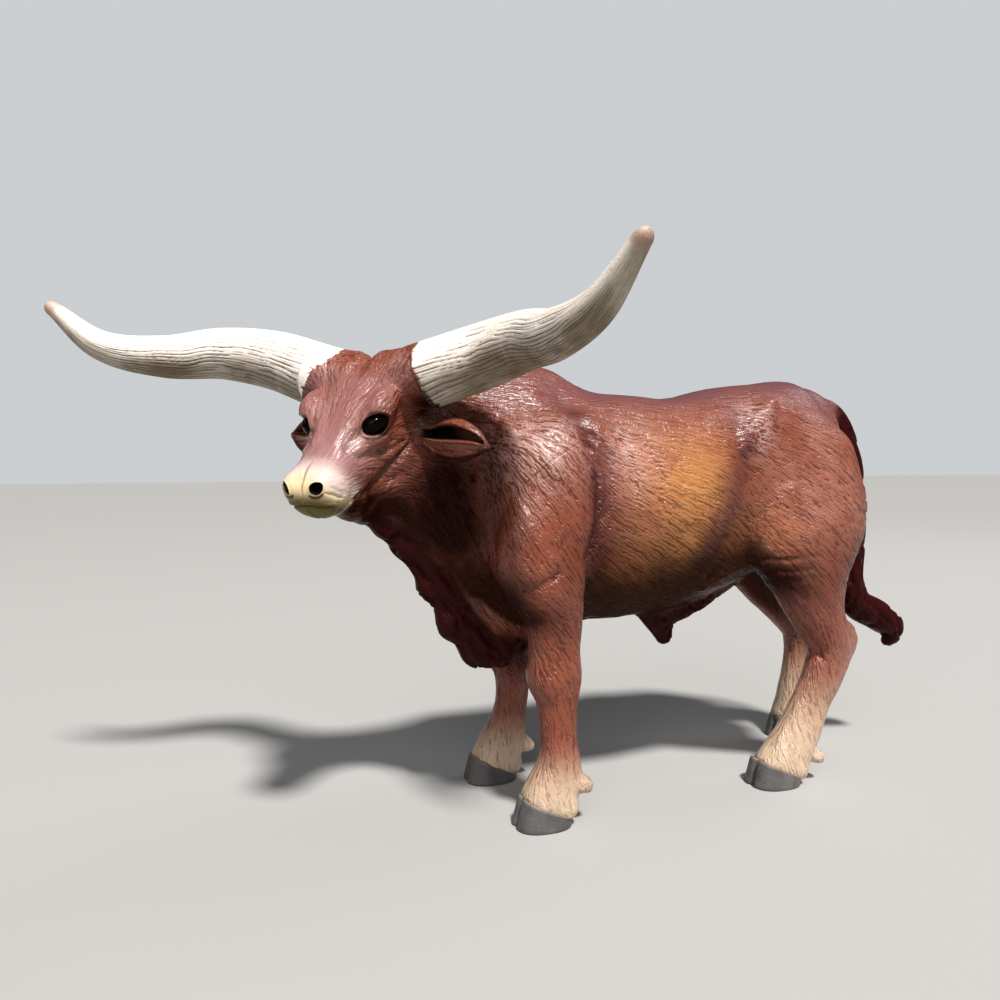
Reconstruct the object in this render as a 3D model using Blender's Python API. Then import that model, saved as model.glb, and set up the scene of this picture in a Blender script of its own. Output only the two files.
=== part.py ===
"""Hand-painted plastic toy figurine of a long-horned humped bull, in one standing pose.

The bull faces -Y, its left side is +X, and it stands on z = 0.
Sizes are in millimetres and become metres where a mesh is made.
The body is shaped whole, as forms carried along paths and melted together,
and is then parted into its named pieces by thin cuts.
"""
import math

import bmesh
import bpy
import numpy as np

MM = 0.001
GAP = 0.3
FRAME_SHIFT = (-19.12, 20.54)

HUMP_TOP = 87.2
BACK_TOP = 82.8
HIP_TOP = 86.6
BELLY_LOW = 36.0
TORSO_HALF_WIDTH = 18.6
FRONT_HOOF = {"left": (13.8, -27.6), "right": (-11.4, -29.6)}
HIND_HOOF = {"left": (12.2, 26.2), "right": (-12.2, 50.2)}
HOOF_LENGTH = 11.0
HOOF_WIDTH = 9.6
CORONET_HEIGHT = 4.6

POLL = (4.0, -57.4, 87.9)
HEAD_TURN = math.radians(46.7)
HEAD_PITCH = math.radians(41.4)
HEAD_ROLL = math.radians(1.3)
HEAD_SCALE = 0.974
NAPE_TURN = math.radians(28.0)
EYE_SPOT = (6.9, -15.4, -3.9)
EYE_SIZE = (2.3, 2.0, 2.4)

HORN_PATH = {
    "left": [(11.6, -1.5, -3.4), (22.9, 1.6, -1.7), (32.7, -0.8, 2.4),
             (41.2, -6.9, 7.2), (50.1, -10.6, 13.8), (57.4, -9.3, 22.5)],
    "right": [(-11.6, -1.3, -2.6), (-23.0, 2.0, -0.7), (-32.8, -0.4, 3.3),
              (-41.3, -6.9, 7.4), (-50.2, -11.0, 13.2), (-57.5, -10.1, 21.3)],
}
HORN_RADII = [6.3, 6.0, 5.2, 4.15, 2.93, 1.5]
EAR_PATH = {
    "left": [(6.4, -6.8, -12.6), (11.8, -8.5, -12.1), (14.6, -9.1, -12.0), (18.2, -10.0, -11.8),
             (22.0, -10.8, -11.9), (25.0, -11.4, -12.4)],
    "right": [(-6.4, -5.2, -12.8), (-11.2, -5.6, -13.4), (-14.0, -5.8, -14.0),
              (-17.4, -5.4, -14.4), (-20.4, -4.8, -14.8), (-22.8, -4.3, -15.0)],
}
EAR_SIDES = [1.8, 1.8, 3.1, 3.7, 2.7, 0.5]
EAR_DEEPS = [1.6, 1.6, 2.0, 2.0, 1.4, 0.5]

VOXEL = 0.9
FINE_VOXEL = 0.7
SKIN_TRIANGLES = 7400

BROWN = (0.17, 0.055, 0.04)
MAROON = (0.07, 0.018, 0.016)
IVORY = (0.80, 0.76, 0.66)
HOOF_GREY = (0.055, 0.055, 0.06)
EYE_BLACK = (0.006, 0.006, 0.007)


def clear_scene():
    for old in list(bpy.data.objects):
        bpy.data.objects.remove(old, do_unlink=True)


def make_material(name, colour, roughness=0.45):
    material = bpy.data.materials.new(name)
    material.use_nodes = True
    shader = material.node_tree.nodes["Principled BSDF"]
    shader.inputs["Base Color"].default_value = (*colour, 1.0)
    shader.inputs["Roughness"].default_value = roughness
    shader.inputs["Metallic"].default_value = 0.0
    return material


def head_axes():
    """Left, back and up directions of the head as rows, turned, pitched and rolled."""
    ct, st = math.cos(HEAD_TURN), math.sin(HEAD_TURN)
    cp, sp = math.cos(HEAD_PITCH), math.sin(HEAD_PITCH)
    cr, sr = math.cos(HEAD_ROLL), math.sin(HEAD_ROLL)
    turn = np.array([[ct, -st, 0.0], [st, ct, 0.0], [0.0, 0.0, 1.0]])
    pitch = np.array([[1.0, 0.0, 0.0], [0.0, cp, -sp], [0.0, sp, cp]])
    roll = np.array([[cr, 0.0, sr], [0.0, 1.0, 0.0], [-sr, 0.0, cr]])
    return (turn @ pitch @ roll).T


def from_head(points):
    """Head coordinates to the bull's own, scaled about the poll."""
    local = np.asarray(points, dtype=float) * HEAD_SCALE
    return local @ head_axes() + np.array(POLL)


def head_direction(vector):
    return np.asarray(vector, dtype=float) @ head_axes()


def mirrored(points, side):
    sign = 1.0 if side == "left" else -1.0
    return [(sign * x, y, z) for x, y, z in points]


def spline(values, count):
    """Rows of values carried smoothly through count samples, by Catmull-Rom."""
    rows = np.asarray(values, dtype=float)
    if rows.ndim == 1:
        rows = rows[:, None]
    ends = np.vstack([2 * rows[0] - rows[1], rows, 2 * rows[-1] - rows[-2]])
    t = np.linspace(0.0, len(rows) - 1.0, count)
    i = np.minimum(t.astype(int), len(rows) - 2)
    s = (t - i)[:, None]
    a, b, c, d = ends[i], ends[i + 1], ends[i + 2], ends[i + 3]
    out = 0.5 * (2 * b + (c - a) * s + (2 * a - 5 * b + 4 * c - d) * s ** 2
                 + (3 * b - a - 3 * c + d) * s ** 3)
    return out


class Form:
    """A rounded profile carried along a path, with a round cap at each end."""

    def __init__(self, path, side, deep, blend=2.0, square=2.2, egg=0.0, cap=None,
                 across=(1.0, 0.0, 0.0), count=48):
        self.centre = spline(path, count)
        self.side = spline(side, count)[:, 0]
        self.deep = spline(deep, count)[:, 0]
        self.blend = blend
        self.square = square
        self.egg = egg
        tangent = np.gradient(self.centre, axis=0)
        self.step = np.linalg.norm(tangent, axis=1)
        self.tangent = tangent / self.step[:, None]
        lean = np.asarray(across, dtype=float)
        across_rows = lean - (self.tangent @ lean)[:, None] * self.tangent
        self.across = across_rows / np.linalg.norm(across_rows, axis=1)[:, None]
        self.up = np.cross(self.tangent, self.across)
        ends = (min(self.side[0], self.deep[0]), min(self.side[-1], self.deep[-1]))
        self.cap = ends if cap is None else cap

    def distance(self, points):
        """Signed distance of points, measured along the ray from the path."""
        gap2 = ((points[:, None, :] - self.centre[None, :, :]) ** 2).sum(2)
        i = np.argmin(gap2, axis=1)
        off = points - self.centre[i]
        along = (off * self.tangent[i]).sum(1) / self.step[i]
        last = len(self.centre) - 1
        t = np.clip(i + np.clip(along, -0.5, 0.5), 0, last)
        j = np.minimum(t.astype(int), last - 1)
        s = (t - j)[:, None]

        def mix(rows):
            return rows[j] * (1 - s) + rows[j + 1] * s

        q = points - mix(self.centre)
        up = (q * mix(self.up)).sum(1) / mix(self.deep[:, None])[:, 0]
        wide = mix(self.side[:, None])[:, 0] * (1 - self.egg * np.clip(up, -1, 1))
        side = (q * mix(self.across)).sum(1) / wide
        over = (q * mix(self.tangent)).sum(1)
        cap = np.where(over < 0, self.cap[0], self.cap[1])
        n = self.square
        g = (np.abs(side) ** n + np.abs(up) ** n + np.abs(over / cap) ** n) ** (1 / n)
        length = np.linalg.norm(q, axis=1)
        return length - length / np.maximum(g, 1e-6)

    def bounds(self):
        reach = max(self.side.max() * (1 + abs(self.egg)), self.deep.max(), max(self.cap))
        reach += self.blend + 2.5
        return self.centre.min(0) - reach, self.centre.max(0) + reach

    def surface(self, ring=24, cap_rings=5):
        """Rings round the path, with shrinking rings over both caps."""
        n = self.square
        angle = np.linspace(0, 2 * math.pi, ring, endpoint=False)
        cosine, sine = np.cos(angle), np.sin(angle)
        up = np.sign(cosine) * np.abs(cosine) ** (2 / n)
        side = np.sign(sine) * np.abs(sine) ** (2 / n) * (1 - self.egg * up)
        rows = []

        def add(k, push, shrink):
            centre = self.centre[k] + self.tangent[k] * push
            rows.append(centre + shrink * (np.outer(side * self.side[k], self.across[k])
                                           + np.outer(up * self.deep[k], self.up[k])))

        lift = np.linspace(math.pi / 2, 0, cap_rings + 1)
        for a in lift[:-1]:
            add(0, -self.cap[0] * math.sin(a), max(math.cos(a), 0.02))
        for k in range(0, len(self.centre)):
            add(k, 0.0, 1.0)
        for a in lift[::-1][1:]:
            add(-1, self.cap[1] * math.sin(a), max(math.cos(a), 0.02))
        return np.array(rows)


def ball(centre, radii, blend=2.0, across=(1.0, 0.0, 0.0), along=(0.0, 1.0, 0.0)):
    """An ellipsoid: radii are across, up and along."""
    centre = np.asarray(centre, dtype=float)
    along = np.asarray(along, dtype=float)
    along = along / np.linalg.norm(along)
    path = [centre - along * 0.02 * radii[2], centre, centre + along * 0.02 * radii[2]]
    return Form(path, [radii[0]] * 3, [radii[1]] * 3, blend=blend, square=2.0,
                cap=(radii[2] * 0.98, radii[2] * 0.98), across=across, count=5)


def torso_forms():
    """Barrel, hump and hip bones; each barrel row is y, top, bottom and half width."""
    half = TORSO_HALF_WIDTH
    rows = [(-39.0, 66.0, 42.0, 8.5), (-33.0, 75.0, 35.5, 12.8), (-25.0, 80.5, 34.5, 15.8),
            (-15.0, 82.6, BELLY_LOW, 17.0), (-5.0, BACK_TOP, BELLY_LOW, half - 0.6),
            (5.0, BACK_TOP - 0.4, 37.4, half), (14.0, BACK_TOP + 0.5, 40.4, half - 0.2),
            (23.0, HIP_TOP - 1.2, 43.6, half - 1.8), (33.0, HIP_TOP, 47.0, 15.6),
            (42.0, HIP_TOP - 0.6, 51.0, 13.0), (47.4, HIP_TOP - 3.2, 57.0, 9.0)]
    path = [(0.0, y, (top + low) / 2) for y, top, low, wide in rows]
    barrel = Form(path, [row[3] for row in rows], [(row[1] - row[2]) / 2 for row in rows],
                  blend=3.0, square=2.25, egg=0.10, cap=(3.8, 3.8))
    hump = ball((0.0, -24.5, HUMP_TOP - 9.0), (6.2, 9.0, 12.0), blend=6.0)
    croup = ball((0.0, 40.0, 78.0), (9.0, 8.6, 13.0), blend=5.0)
    forms = [barrel, hump, croup]
    for sign in (1.0, -1.0):
        forms.append(ball((sign * 10.8, 26.0, 76.2), (4.2, 5.6, 6.4), blend=4.0))
        forms.append(ball((sign * 12.6, -23.0, 60.0), (5.6, 17.5, 10.2), blend=4.5,
                          along=(0.0, 1.0, -0.25)))
        forms.append(ball((sign * 13.0, -29.5, 50.5), (5.4, 7.5, 6.5), blend=4.0))
    return forms


def neck_forms():
    crest = Form([(0.0, -24.0, 77.0), (0.0, -34.0, 77.0), (-0.4, -43.0, 76.6), (-0.8, -50.5, 77.6)],
                 [7.0, 6.6, 5.2, 4.8], [10.0, 9.4, 8.0, 6.6], blend=4.5)
    trunk = Form([(0.0, -24.0, 62.0), (0.0, -34.0, 63.5), (0.0, -43.5, 66.5), (0.8, -50.5, 71.5)],
                 [13.0, 10.8, 8.6, 7.4], [21.0, 18.5, 13.6, 9.6], blend=4.5)
    throat = Form([(1.0, -44.0, 64.0), (3.4, -52.0, 65.5), (6.0, -58.0, 64.5)],
                  [7.0, 5.8, 4.4], [9.0, 7.0, 4.6], blend=3.5)
    return [crest, trunk, throat]


def dewlap_forms():
    """The hanging fold from the throat to the brisket, with the lobes of its edge."""
    fold = Form([(5.0, -59.0, 61.0), (2.2, -53.0, 58.5), (0.6, -46.0, 52.5), (0.0, -41.0, 46.0),
                 (0.0, -36.8, 39.4), (0.0, -32.6, 34.2), (0.0, -28.0, 33.4)],
                [2.6, 2.6, 2.8, 3.2, 3.8, 4.6, 4.0], [3.2, 4.4, 5.6, 6.2, 6.8, 6.6, 4.6],
                blend=2.6, square=2.1)
    lobes = [((7.0, -60.5, 58.6), 2.0), ((3.2, -54.6, 56.6), 2.0), ((1.2, -51.0, 53.0), 1.9),
             ((0.0, -45.6, 44.0), 2.2), ((0.6, -41.4, 36.4), 2.6), ((-0.4, -35.6, 30.6), 3.2),
             ((0.8, -30.6, 30.4), 2.8)]
    return [fold] + [ball(spot, (size, size, size), blend=1.6) for spot, size in lobes]


def belly_forms():
    sheath = Form([(0.0, 3.6, 38.0), (0.0, 5.8, 34.0), (0.0, 7.2, 30.6)],
                  [2.4, 2.1, 1.6], [4.0, 3.0, 1.9], blend=2.0, across=(1, 0, 0))
    web = Form([(0.0, 5.5, 36.0), (0.0, 12.0, 37.6), (0.0, 19.0, 41.0), (0.0, 26.0, 45.0)],
               [1.9, 1.8, 1.9, 2.4], [3.0, 3.4, 3.2, 3.0], blend=2.4)
    scrotum = Form([(0.0, 36.8, 51.0), (0.0, 37.4, 45.4), (0.0, 37.4, 42.0)],
                   [2.4, 2.8, 3.0], [2.6, 3.2, 3.4], blend=0.8)
    return [sheath, web, scrotum]


def tail_forms():
    dock = Form([(0.0, 44.0, 81.5), (0.0, 50.0, 81.6), (0.0, 53.4, 78.0), (0.0, 55.6, 68.0),
                 (0.0, 57.2, 58.0), (0.0, 57.4, 48.5), (0.0, 57.2, 41.0), (0.0, 58.8, 36.2)],
                [3.4, 3.0, 2.7, 2.4, 2.4, 2.5, 2.8, 3.0], [3.4, 3.0, 2.6, 2.4, 2.4, 2.5, 2.9, 3.2],
                blend=1.6, square=2.0)
    tuft = Form([(0.0, 57.8, 38.4), (0.0, 60.6, 34.2), (0.2, 65.6, 31.6), (0.3, 69.6, 29.0),
                 (0.2, 70.4, 26.4), (0.0, 69.6, 25.0)],
                [3.0, 3.5, 3.7, 3.3, 2.4, 1.5], [3.0, 3.6, 3.7, 3.4, 2.5, 1.6],
                blend=1.4, square=2.0)
    return [dock, tuft]


def front_leg_forms(side):
    sign = 1.0 if side == "left" else -1.0
    hoof_x, hoof_y = FRONT_HOOF[side]
    step = hoof_y - FRONT_HOOF["left"][1]
    x = abs(hoof_x)
    path = [(13.4, -27.5, 53.0), (13.6, -26.2, 45.0), (13.4, -24.8, 39.0), (13.2, -24.6, 33.5),
            (13.1, -24.4, 27.6), (x - 0.5, -24.0 + 0.1 * step, 22.4),
            (x - 0.3, -23.9 + 0.4 * step, 16.0), (x - 0.1, -24.0 + 0.7 * step, 11.5),
            (x, -24.6 + step, 8.2), (x, -26.4 + step, 4.6), (x, -27.2 + step, 2.4)]
    sides = [5.4, 5.9, 5.1, 4.5, 4.5, 3.5, 3.2, 3.7, 4.2, 4.4, 4.4]
    deeps = [8.4, 7.4, 5.6, 5.0, 5.0, 3.9, 3.5, 4.2, 4.8, 4.9, 4.7]
    leg = Form(mirrored(path, side), sides, deeps, blend=3.0, square=2.25, cap=(8.0, 1.0))
    knee = ball((sign * 13.1, -26.2, 27.6), (4.2, 3.6, 3.2), blend=2.0)
    claws = [ball((sign * (x + k * 2.1), -20.0 + step, 7.4), (1.7, 1.6, 2.2), blend=1.2,
                  along=(0.0, 1.0, -0.5)) for k in (-1, 1)]
    bulbs = [ball((sign * (x + k * 2.2), -23.4 + step, 3.4), (2.2, 2.2, 2.4), blend=1.4)
             for k in (-1, 1)]
    return [leg, knee] + claws + bulbs


def hind_leg_forms(side):
    sign = 1.0 if side == "left" else -1.0
    hoof_x, hoof_y = HIND_HOOF[side]
    x = abs(hoof_x)
    if side == "left":
        path = [(9.5, 35.0, 68.0), (11.4, 35.4, 58.0), (12.3, 34.8, 49.0), (12.1, 36.2, 41.0),
                (11.8, 38.6, 34.6), (11.7, 41.6, 28.6), (11.8, 40.2, 23.0), (11.9, 36.8, 17.0),
                (12.0, 33.4, 10.8), (x, 30.6, 6.8), (x, 27.6, 3.6), (x, 26.6, 2.2)]
    else:
        path = [(9.5, 36.0, 68.0), (11.4, 38.0, 58.0), (12.3, 40.0, 49.0), (12.1, 43.6, 41.0),
                (11.8, 48.4, 34.0), (11.7, 53.4, 28.0), (11.8, 54.0, 22.4), (11.9, 53.0, 16.6),
                (12.0, 52.2, 11.0), (x, 51.8, 7.4), (x, 50.6, 4.0), (x, 50.0, 2.2)]
    sides = [8.4, 8.0, 6.9, 5.7, 4.6, 4.0, 3.5, 3.2, 3.7, 4.1, 4.3, 4.3]
    deeps = [13.0, 14.2, 12.4, 8.2, 5.8, 5.3, 4.6, 4.3, 4.7, 5.0, 4.9, 4.7]
    leg = Form(mirrored(path, side), sides, deeps, blend=3.0, square=2.2, cap=(10.0, 1.0))
    hock_y, hock_z = (45.6, 29.6) if side == "left" else (57.4, 29.0)
    hock = ball((sign * 11.6, hock_y, hock_z), (2.7, 3.4, 2.4), blend=2.4)
    claws = [ball((sign * (x + k * 2.0), path[9][1] + 5.4, 5.2), (1.6, 1.5, 2.0), blend=1.2,
                  along=(0.0, 1.0, -0.5)) for k in (-1, 1)]
    bulbs = [ball((sign * (x + k * 2.2), hoof_y + 4.4, 3.0), (2.2, 2.2, 2.4), blend=1.4)
             for k in (-1, 1)]
    buttock = ball((sign * 9.2, 42.5, 62.0), (6.6, 13.0, 7.0), blend=4.0)
    stifle = ball((sign * 14.2, 27.0 + (2.0 if side == "right" else 0.0), 52.0),
                  (3.6, 7.0, 6.5), blend=4.0)
    return [leg, hock, buttock, stifle] + claws + bulbs


def head_form(path, side, deep, **extra):
    across = head_direction((1.0, 0.0, 0.0))
    side = [s * HEAD_SCALE for s in side]
    deep = [d * HEAD_SCALE for d in deep]
    return Form(from_head(path), side, deep, across=across, **extra)


def head_ball(centre, radii, blend=1.5, along=(0.0, 1.0, 0.0)):
    radii = [r * HEAD_SCALE for r in radii]
    return ball(from_head([centre])[0], radii, blend=blend,
                across=head_direction((1.0, 0.0, 0.0)), along=head_direction(along))


def head_forms():
    """Skull, brows, cheeks and muzzle; each skull row is y, top, bottom and half width."""
    rows = [(0.5, 0.2, -17.0, 7.4), (-4.5, 0.6, -19.4, 8.2), (-9.5, 0.3, -19.6, 8.4),
            (-14.5, -0.6, -18.2, 7.7), (-19.5, -1.8, -16.0, 6.2), (-24.5, -2.7, -13.8, 5.1),
            (-28.5, -3.2, -12.8, 5.2), (-30.8, -4.0, -12.2, 4.9)]
    skull = head_form([(0.0, y, (top + low) / 2) for y, top, low, wide in rows],
                      [row[3] for row in rows], [(row[1] - row[2]) / 2 for row in rows],
                      blend=2.0, square=2.35, egg=-0.12, cap=(2.0, 2.0))
    forms = [skull, head_ball((0.0, -28.6, -7.0), (5.9, 4.2, 4.2), blend=1.6),
             head_ball((0.0, -27.4, -11.6), (4.3, 2.6, 3.8), blend=1.4)]
    for sign in (1.0, -1.0):
        forms.append(head_ball((sign * 7.5, -11.6, -2.5), (2.3, 2.7, 4.2), blend=1.8))
        forms.append(head_ball((sign * 6.1, -15.0, -4.2), (2.4, 2.9, 3.3), blend=1.4))
        forms.append(head_ball((sign * 5.6, -9.0, -13.2), (3.2, 6.2, 6.8), blend=2.2))
        forms.append(head_ball((sign * 3.4, -30.6, -5.0), (2.0, 2.0, 2.0), blend=1.0))
    return forms


def horn_form(side):
    radii = [r * HEAD_SCALE for r in HORN_RADII]
    return Form(from_head(HORN_PATH[side]), radii, radii, square=2.0,
                across=head_direction((0.0, 1.0, 0.0)), count=19)


def core_forms(side):
    """The brow of flesh that carries the horn."""
    horn = horn_form(side)
    sign = 1.0 if side == "left" else -1.0
    root = from_head([(sign * 4.0, -1.6, -4.0)])[0]
    base = horn.centre[0]
    radius = HORN_RADII[0] * HEAD_SCALE
    return [Form([root, (root + base) / 2, base + horn.tangent[0] * 1.2],
                 [radius * 0.94, radius * 0.98, radius], [radius * 0.9, radius * 0.96, radius],
                 blend=2.2, square=2.0, cap=(4.0, 1.0),
                 across=head_direction((0.0, 1.0, 0.0)))]


def ear_line(side):
    """Points along the ear from its root, and the directions that it runs in."""
    path = spline(from_head(EAR_PATH[side][1:]), 11)
    tangent = np.gradient(path, axis=0)
    return path, tangent / np.linalg.norm(tangent, axis=1)[:, None]


def ear_stub(side):
    """The root of the ear, which stays with the head."""
    path, tangent = ear_line(side)
    return Form([from_head(EAR_PATH[side][:1])[0], path[0] + tangent[0] * 0.4], [2.0, 1.8],
                [1.8, 1.6], blend=0.6, square=2.0, cap=(0.5, 0.4))


def body_forms():
    forms = torso_forms() + neck_forms() + dewlap_forms() + belly_forms() + tail_forms()
    forms += head_forms()
    for side in ("left", "right"):
        forms += front_leg_forms(side) + hind_leg_forms(side) + core_forms(side)
        forms.append(ear_stub(side))
    return forms


def depth_of(points, forms):
    """Signed distance to all forms melted together."""
    total = np.full(len(points), 30.0)
    for form in forms:
        low, high = form.bounds()
        near = ((points > low) & (points < high)).all(1)
        if near.any():
            one, rest, soft = form.distance(points[near]), total[near], form.blend
            h = np.clip(0.5 + 0.5 * (rest - one) / soft, 0, 1)
            total[near] = rest * (1 - h) + one * h - soft * h * (1 - h)
    return total


def mesh_from(name, points, faces):
    mesh = bpy.data.meshes.new(name)
    mesh.from_pydata([tuple(p) for p in points], [], faces)
    mesh.validate()
    return mesh


def grid_faces(rows, ring):
    """Quads between rings, with both ends closed by one face each."""
    faces = []
    for i in range(rows - 1):
        for j in range(ring):
            k = (j + 1) % ring
            faces.append((i * ring + j, i * ring + k, (i + 1) * ring + k, (i + 1) * ring + j))
    faces.append(tuple(range(ring))[::-1])
    faces.append(tuple((rows - 1) * ring + j for j in range(ring)))
    return faces


def outward(mesh):
    work = bmesh.new()
    work.from_mesh(mesh)
    bmesh.ops.recalc_face_normals(work, faces=work.faces)
    work.to_mesh(mesh)
    work.free()


def add_object(name, mesh, material=None):
    thing = bpy.data.objects.new(name, mesh)
    bpy.context.scene.collection.objects.link(thing)
    if material is not None:
        mesh.materials.clear()
        mesh.materials.append(material)
    return thing


def evaluated(thing):
    """The object's mesh as its modifiers leave it."""
    graph = bpy.context.evaluated_depsgraph_get()
    return bpy.data.meshes.new_from_object(thing.evaluated_get(graph))


def read_points(mesh):
    flat = np.empty(len(mesh.vertices) * 3)
    mesh.vertices.foreach_get("co", flat)
    return flat.reshape(-1, 3)


def write_points(mesh, points):
    mesh.vertices.foreach_set("co", points.astype(np.float32).ravel())
    mesh.update()


def corner_normals(mesh, points):
    """Area-weighted normals from the corners of each quad's two diagonals."""
    loops = np.empty(len(mesh.loops), dtype=int)
    mesh.loops.foreach_get("vertex_index", loops)
    quads = loops.reshape(-1, 4)
    face = np.cross(points[quads[:, 2]] - points[quads[:, 0]],
                    points[quads[:, 3]] - points[quads[:, 1]])
    out = np.zeros_like(points)
    for axis in range(3):
        weight = np.repeat(face[:, axis], 4)
        out[:, axis] = np.bincount(quads.ravel(), weights=weight, minlength=len(points))
    return out / np.maximum(np.linalg.norm(out, axis=1), 1e-9)[:, None]


def neighbour_mean(points, edges):
    count = np.bincount(edges.ravel(), minlength=len(points)).astype(float)
    out = np.empty_like(points)
    for axis in range(3):
        other = np.concatenate([points[edges[:, 1], axis], points[edges[:, 0], axis]])
        out[:, axis] = np.bincount(np.concatenate([edges[:, 0], edges[:, 1]]), weights=other,
                                   minlength=len(points))
    return out / np.maximum(count, 1.0)[:, None]


def remeshed(mesh, size):
    """The mesh wrapped in one clean closed surface of even quads."""
    thing = add_object("wrap", mesh)
    wrap = thing.modifiers.new("wrap", "REMESH")
    wrap.mode = "VOXEL"
    wrap.voxel_size = size
    out = evaluated(thing)
    bpy.data.objects.remove(thing, do_unlink=True)
    return out


def shape_body():
    """The whole body as one closed mesh: rough forms joined, then drawn to the melted surface."""
    forms = body_forms()
    points, faces, base = [], [], 0
    for form in forms:
        rows = form.surface()
        count, ring = rows.shape[:2]
        points.append(rows.reshape(-1, 3))
        faces += [tuple(i + base for i in face) for face in grid_faces(count, ring)]
        base += count * ring
    rough = mesh_from("rough", np.vstack(points), faces)
    outward(rough)
    mesh = remeshed(rough, VOXEL)
    place = read_points(mesh)
    edges = np.empty(len(mesh.edges) * 2, dtype=int)
    mesh.edges.foreach_get("vertices", edges)
    edges = edges.reshape(-1, 2)
    for turn in range(14):
        normal = corner_normals(mesh, place)
        if turn < 11:
            slide = neighbour_mean(place, edges) - place
            slide -= (slide * normal).sum(1)[:, None] * normal * 0.7
            place = place + slide * 0.5
        depth = depth_of(place, forms)
        place = place - normal * np.clip(depth, -0.8, 0.8)[:, None]
    write_points(mesh, place)
    mesh = remeshed(mesh, FINE_VOXEL)
    body = add_object("body", mesh)
    thin = body.modifiers.new("thin", "DECIMATE")
    thin.ratio = SKIN_TRIANGLES / (2.0 * len(mesh.polygons))
    thin.use_collapse_triangulate = True
    light = evaluated(body)
    bpy.data.objects.remove(body, do_unlink=True)
    return add_object("body", light)


def ribbon(name, line, sweep, reach, thick=GAP):
    """A thin sheet: a line carried both ways along sweep, thick at right angles to both."""
    line = np.asarray(line, dtype=float)
    sweep = np.asarray(sweep, dtype=float)
    sweep = sweep / np.linalg.norm(sweep)
    reach = np.broadcast_to(np.asarray(reach, dtype=float), len(line))[:, None]
    run = np.gradient(line, axis=0)
    normal = np.cross(run, sweep)
    normal /= np.linalg.norm(normal, axis=1)[:, None]
    half = normal * thick / 2
    rows = np.stack([line + half + sweep * reach, line - half + sweep * reach,
                     line - half - sweep * reach, line + half - sweep * reach], axis=1)
    mesh = mesh_from(name, rows.reshape(-1, 3), grid_faces(len(rows), 4))
    outward(mesh)
    return cutter(name, mesh)


def square_cut(name, centre, normal, reach):
    """A thin square sheet round a spot, at right angles to the normal."""
    lean = np.cross(normal, (0.0, 0.0, 1.0))
    lean /= np.linalg.norm(lean)
    return ribbon(name, [centre - lean * reach, centre, centre + lean * reach],
                  np.cross(normal, lean), reach)


def dome(name, centre, radii, foot, thick=GAP):
    """A thin-walled bell over a limb's top: a half ellipsoid on an upright wall."""
    ring, steps = 28, 9
    lift = np.linspace(math.pi / 2, 0.0, steps)
    rows = []
    for grow in (thick / 2, -thick / 2):
        shell = [(max(math.cos(a), 0.02), centre[2] + (radii[2] + grow) * math.sin(a)) for a in lift]
        shell.append((1.0, foot))
        if grow < 0:
            shell = shell[::-1]
        for shrink, height in shell:
            turn = np.linspace(0, 2 * math.pi, ring, endpoint=False)
            rows.append(np.stack([centre[0] + (radii[0] + grow) * shrink * np.cos(turn),
                                  centre[1] + (radii[1] + grow) * shrink * np.sin(turn),
                                  np.full(ring, height)], axis=1))
    rows = np.array(rows)
    mesh = mesh_from(name, rows.reshape(-1, 3), grid_faces(len(rows), ring))
    outward(mesh)
    return cutter(name, mesh)


def cutter(name, mesh):
    thing = add_object(name, mesh)
    thing.hide_render = True
    thing.display_type = "WIRE"
    return thing


def egg_cutter(name, centre, radii, grow=0.0, along=(0.0, 1.0, 0.0)):
    form = head_ball(centre, [r + grow / HEAD_SCALE for r in radii], along=along)
    rows = form.surface(ring=14, cap_rings=4)
    mesh = mesh_from(name, rows.reshape(-1, 3), grid_faces(rows.shape[0], rows.shape[1]))
    outward(mesh)
    return cutter(name, mesh)


def body_cuts():
    """The thin cuts that part the body into its named pieces."""
    cuts = [ribbon("cut_nape", [(0, -46.0, 100.0), (0, -47.8, 84.0), (0, -47.6, 76.0),
                                (0, -49.5, 70.5), (0, -53.5, 66.3), (0, -60.0, 63.2),
                                (0, -69.0, 60.2), (0, -76.0, 58.2)],
                   (math.cos(NAPE_TURN), math.sin(NAPE_TURN), 0.0), 14.0),
            ribbon("cut_neck", [(0, -35.0, 100.0), (0, -36.0, 76.0), (0, -38.0, 60.0),
                                (0, -41.0, 46.6)], (1, 0, 0), 26.0),
            ribbon("cut_tail", [(0, 46.5, 92.0), (0, 50.2, 84.0), (0, 51.6, 77.0),
                                (0, 52.2, 70.0), (0, 52.4, 64.0), (0, 52.4, 57.0)],
                   (1, 0, 0), 5.0),
            ribbon("cut_dewlap", [(0, -58.6, 64.0), (0, -55.0, 60.6), (0, -49.0, 56.0),
                                  (0, -42.4, 49.0), (0, -37.0, 41.0), (0, -33.0, 36.6),
                                  (0, -20.0, 33.6)], (1, 0, 0), [9, 12, 14, 12, 7, 6, 6]),
            ribbon("cut_sheath", [(0, -4.0, 34.6), (0, 5.0, 36.6), (0, 14.0, 39.6),
                                  (0, 22.0, 42.0), (0, 30.0, 44.0), (0, 37.0, 46.6),
                                  (0, 42.0, 48.4)], (1, 0, 0), [10, 10, 10, 4.9, 4.9, 4.9, 4.9])]
    for side, sign in (("left", 1.0), ("right", -1.0)):
        horn = horn_form(side)
        cuts.append(square_cut("cut_horn_" + side, horn.centre[0], horn.tangent[0], 7.3))
        path, tangent = ear_line(side)
        cuts.append(square_cut("cut_ear_" + side, path[0], tangent[0], 3.3))
        cuts.append(dome("cut_fore_" + side, (sign * 19.4, -26.0, 44.0), (13.2, 10.8, 11.0), 30.0))
        hind_y = 36.4 if side == "left" else 39.0
        cuts.append(dome("cut_hind_" + side, (sign * 18.4, hind_y, 54.0), (13.6, 17.4, 20.0), 30.0))
    return cuts


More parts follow.
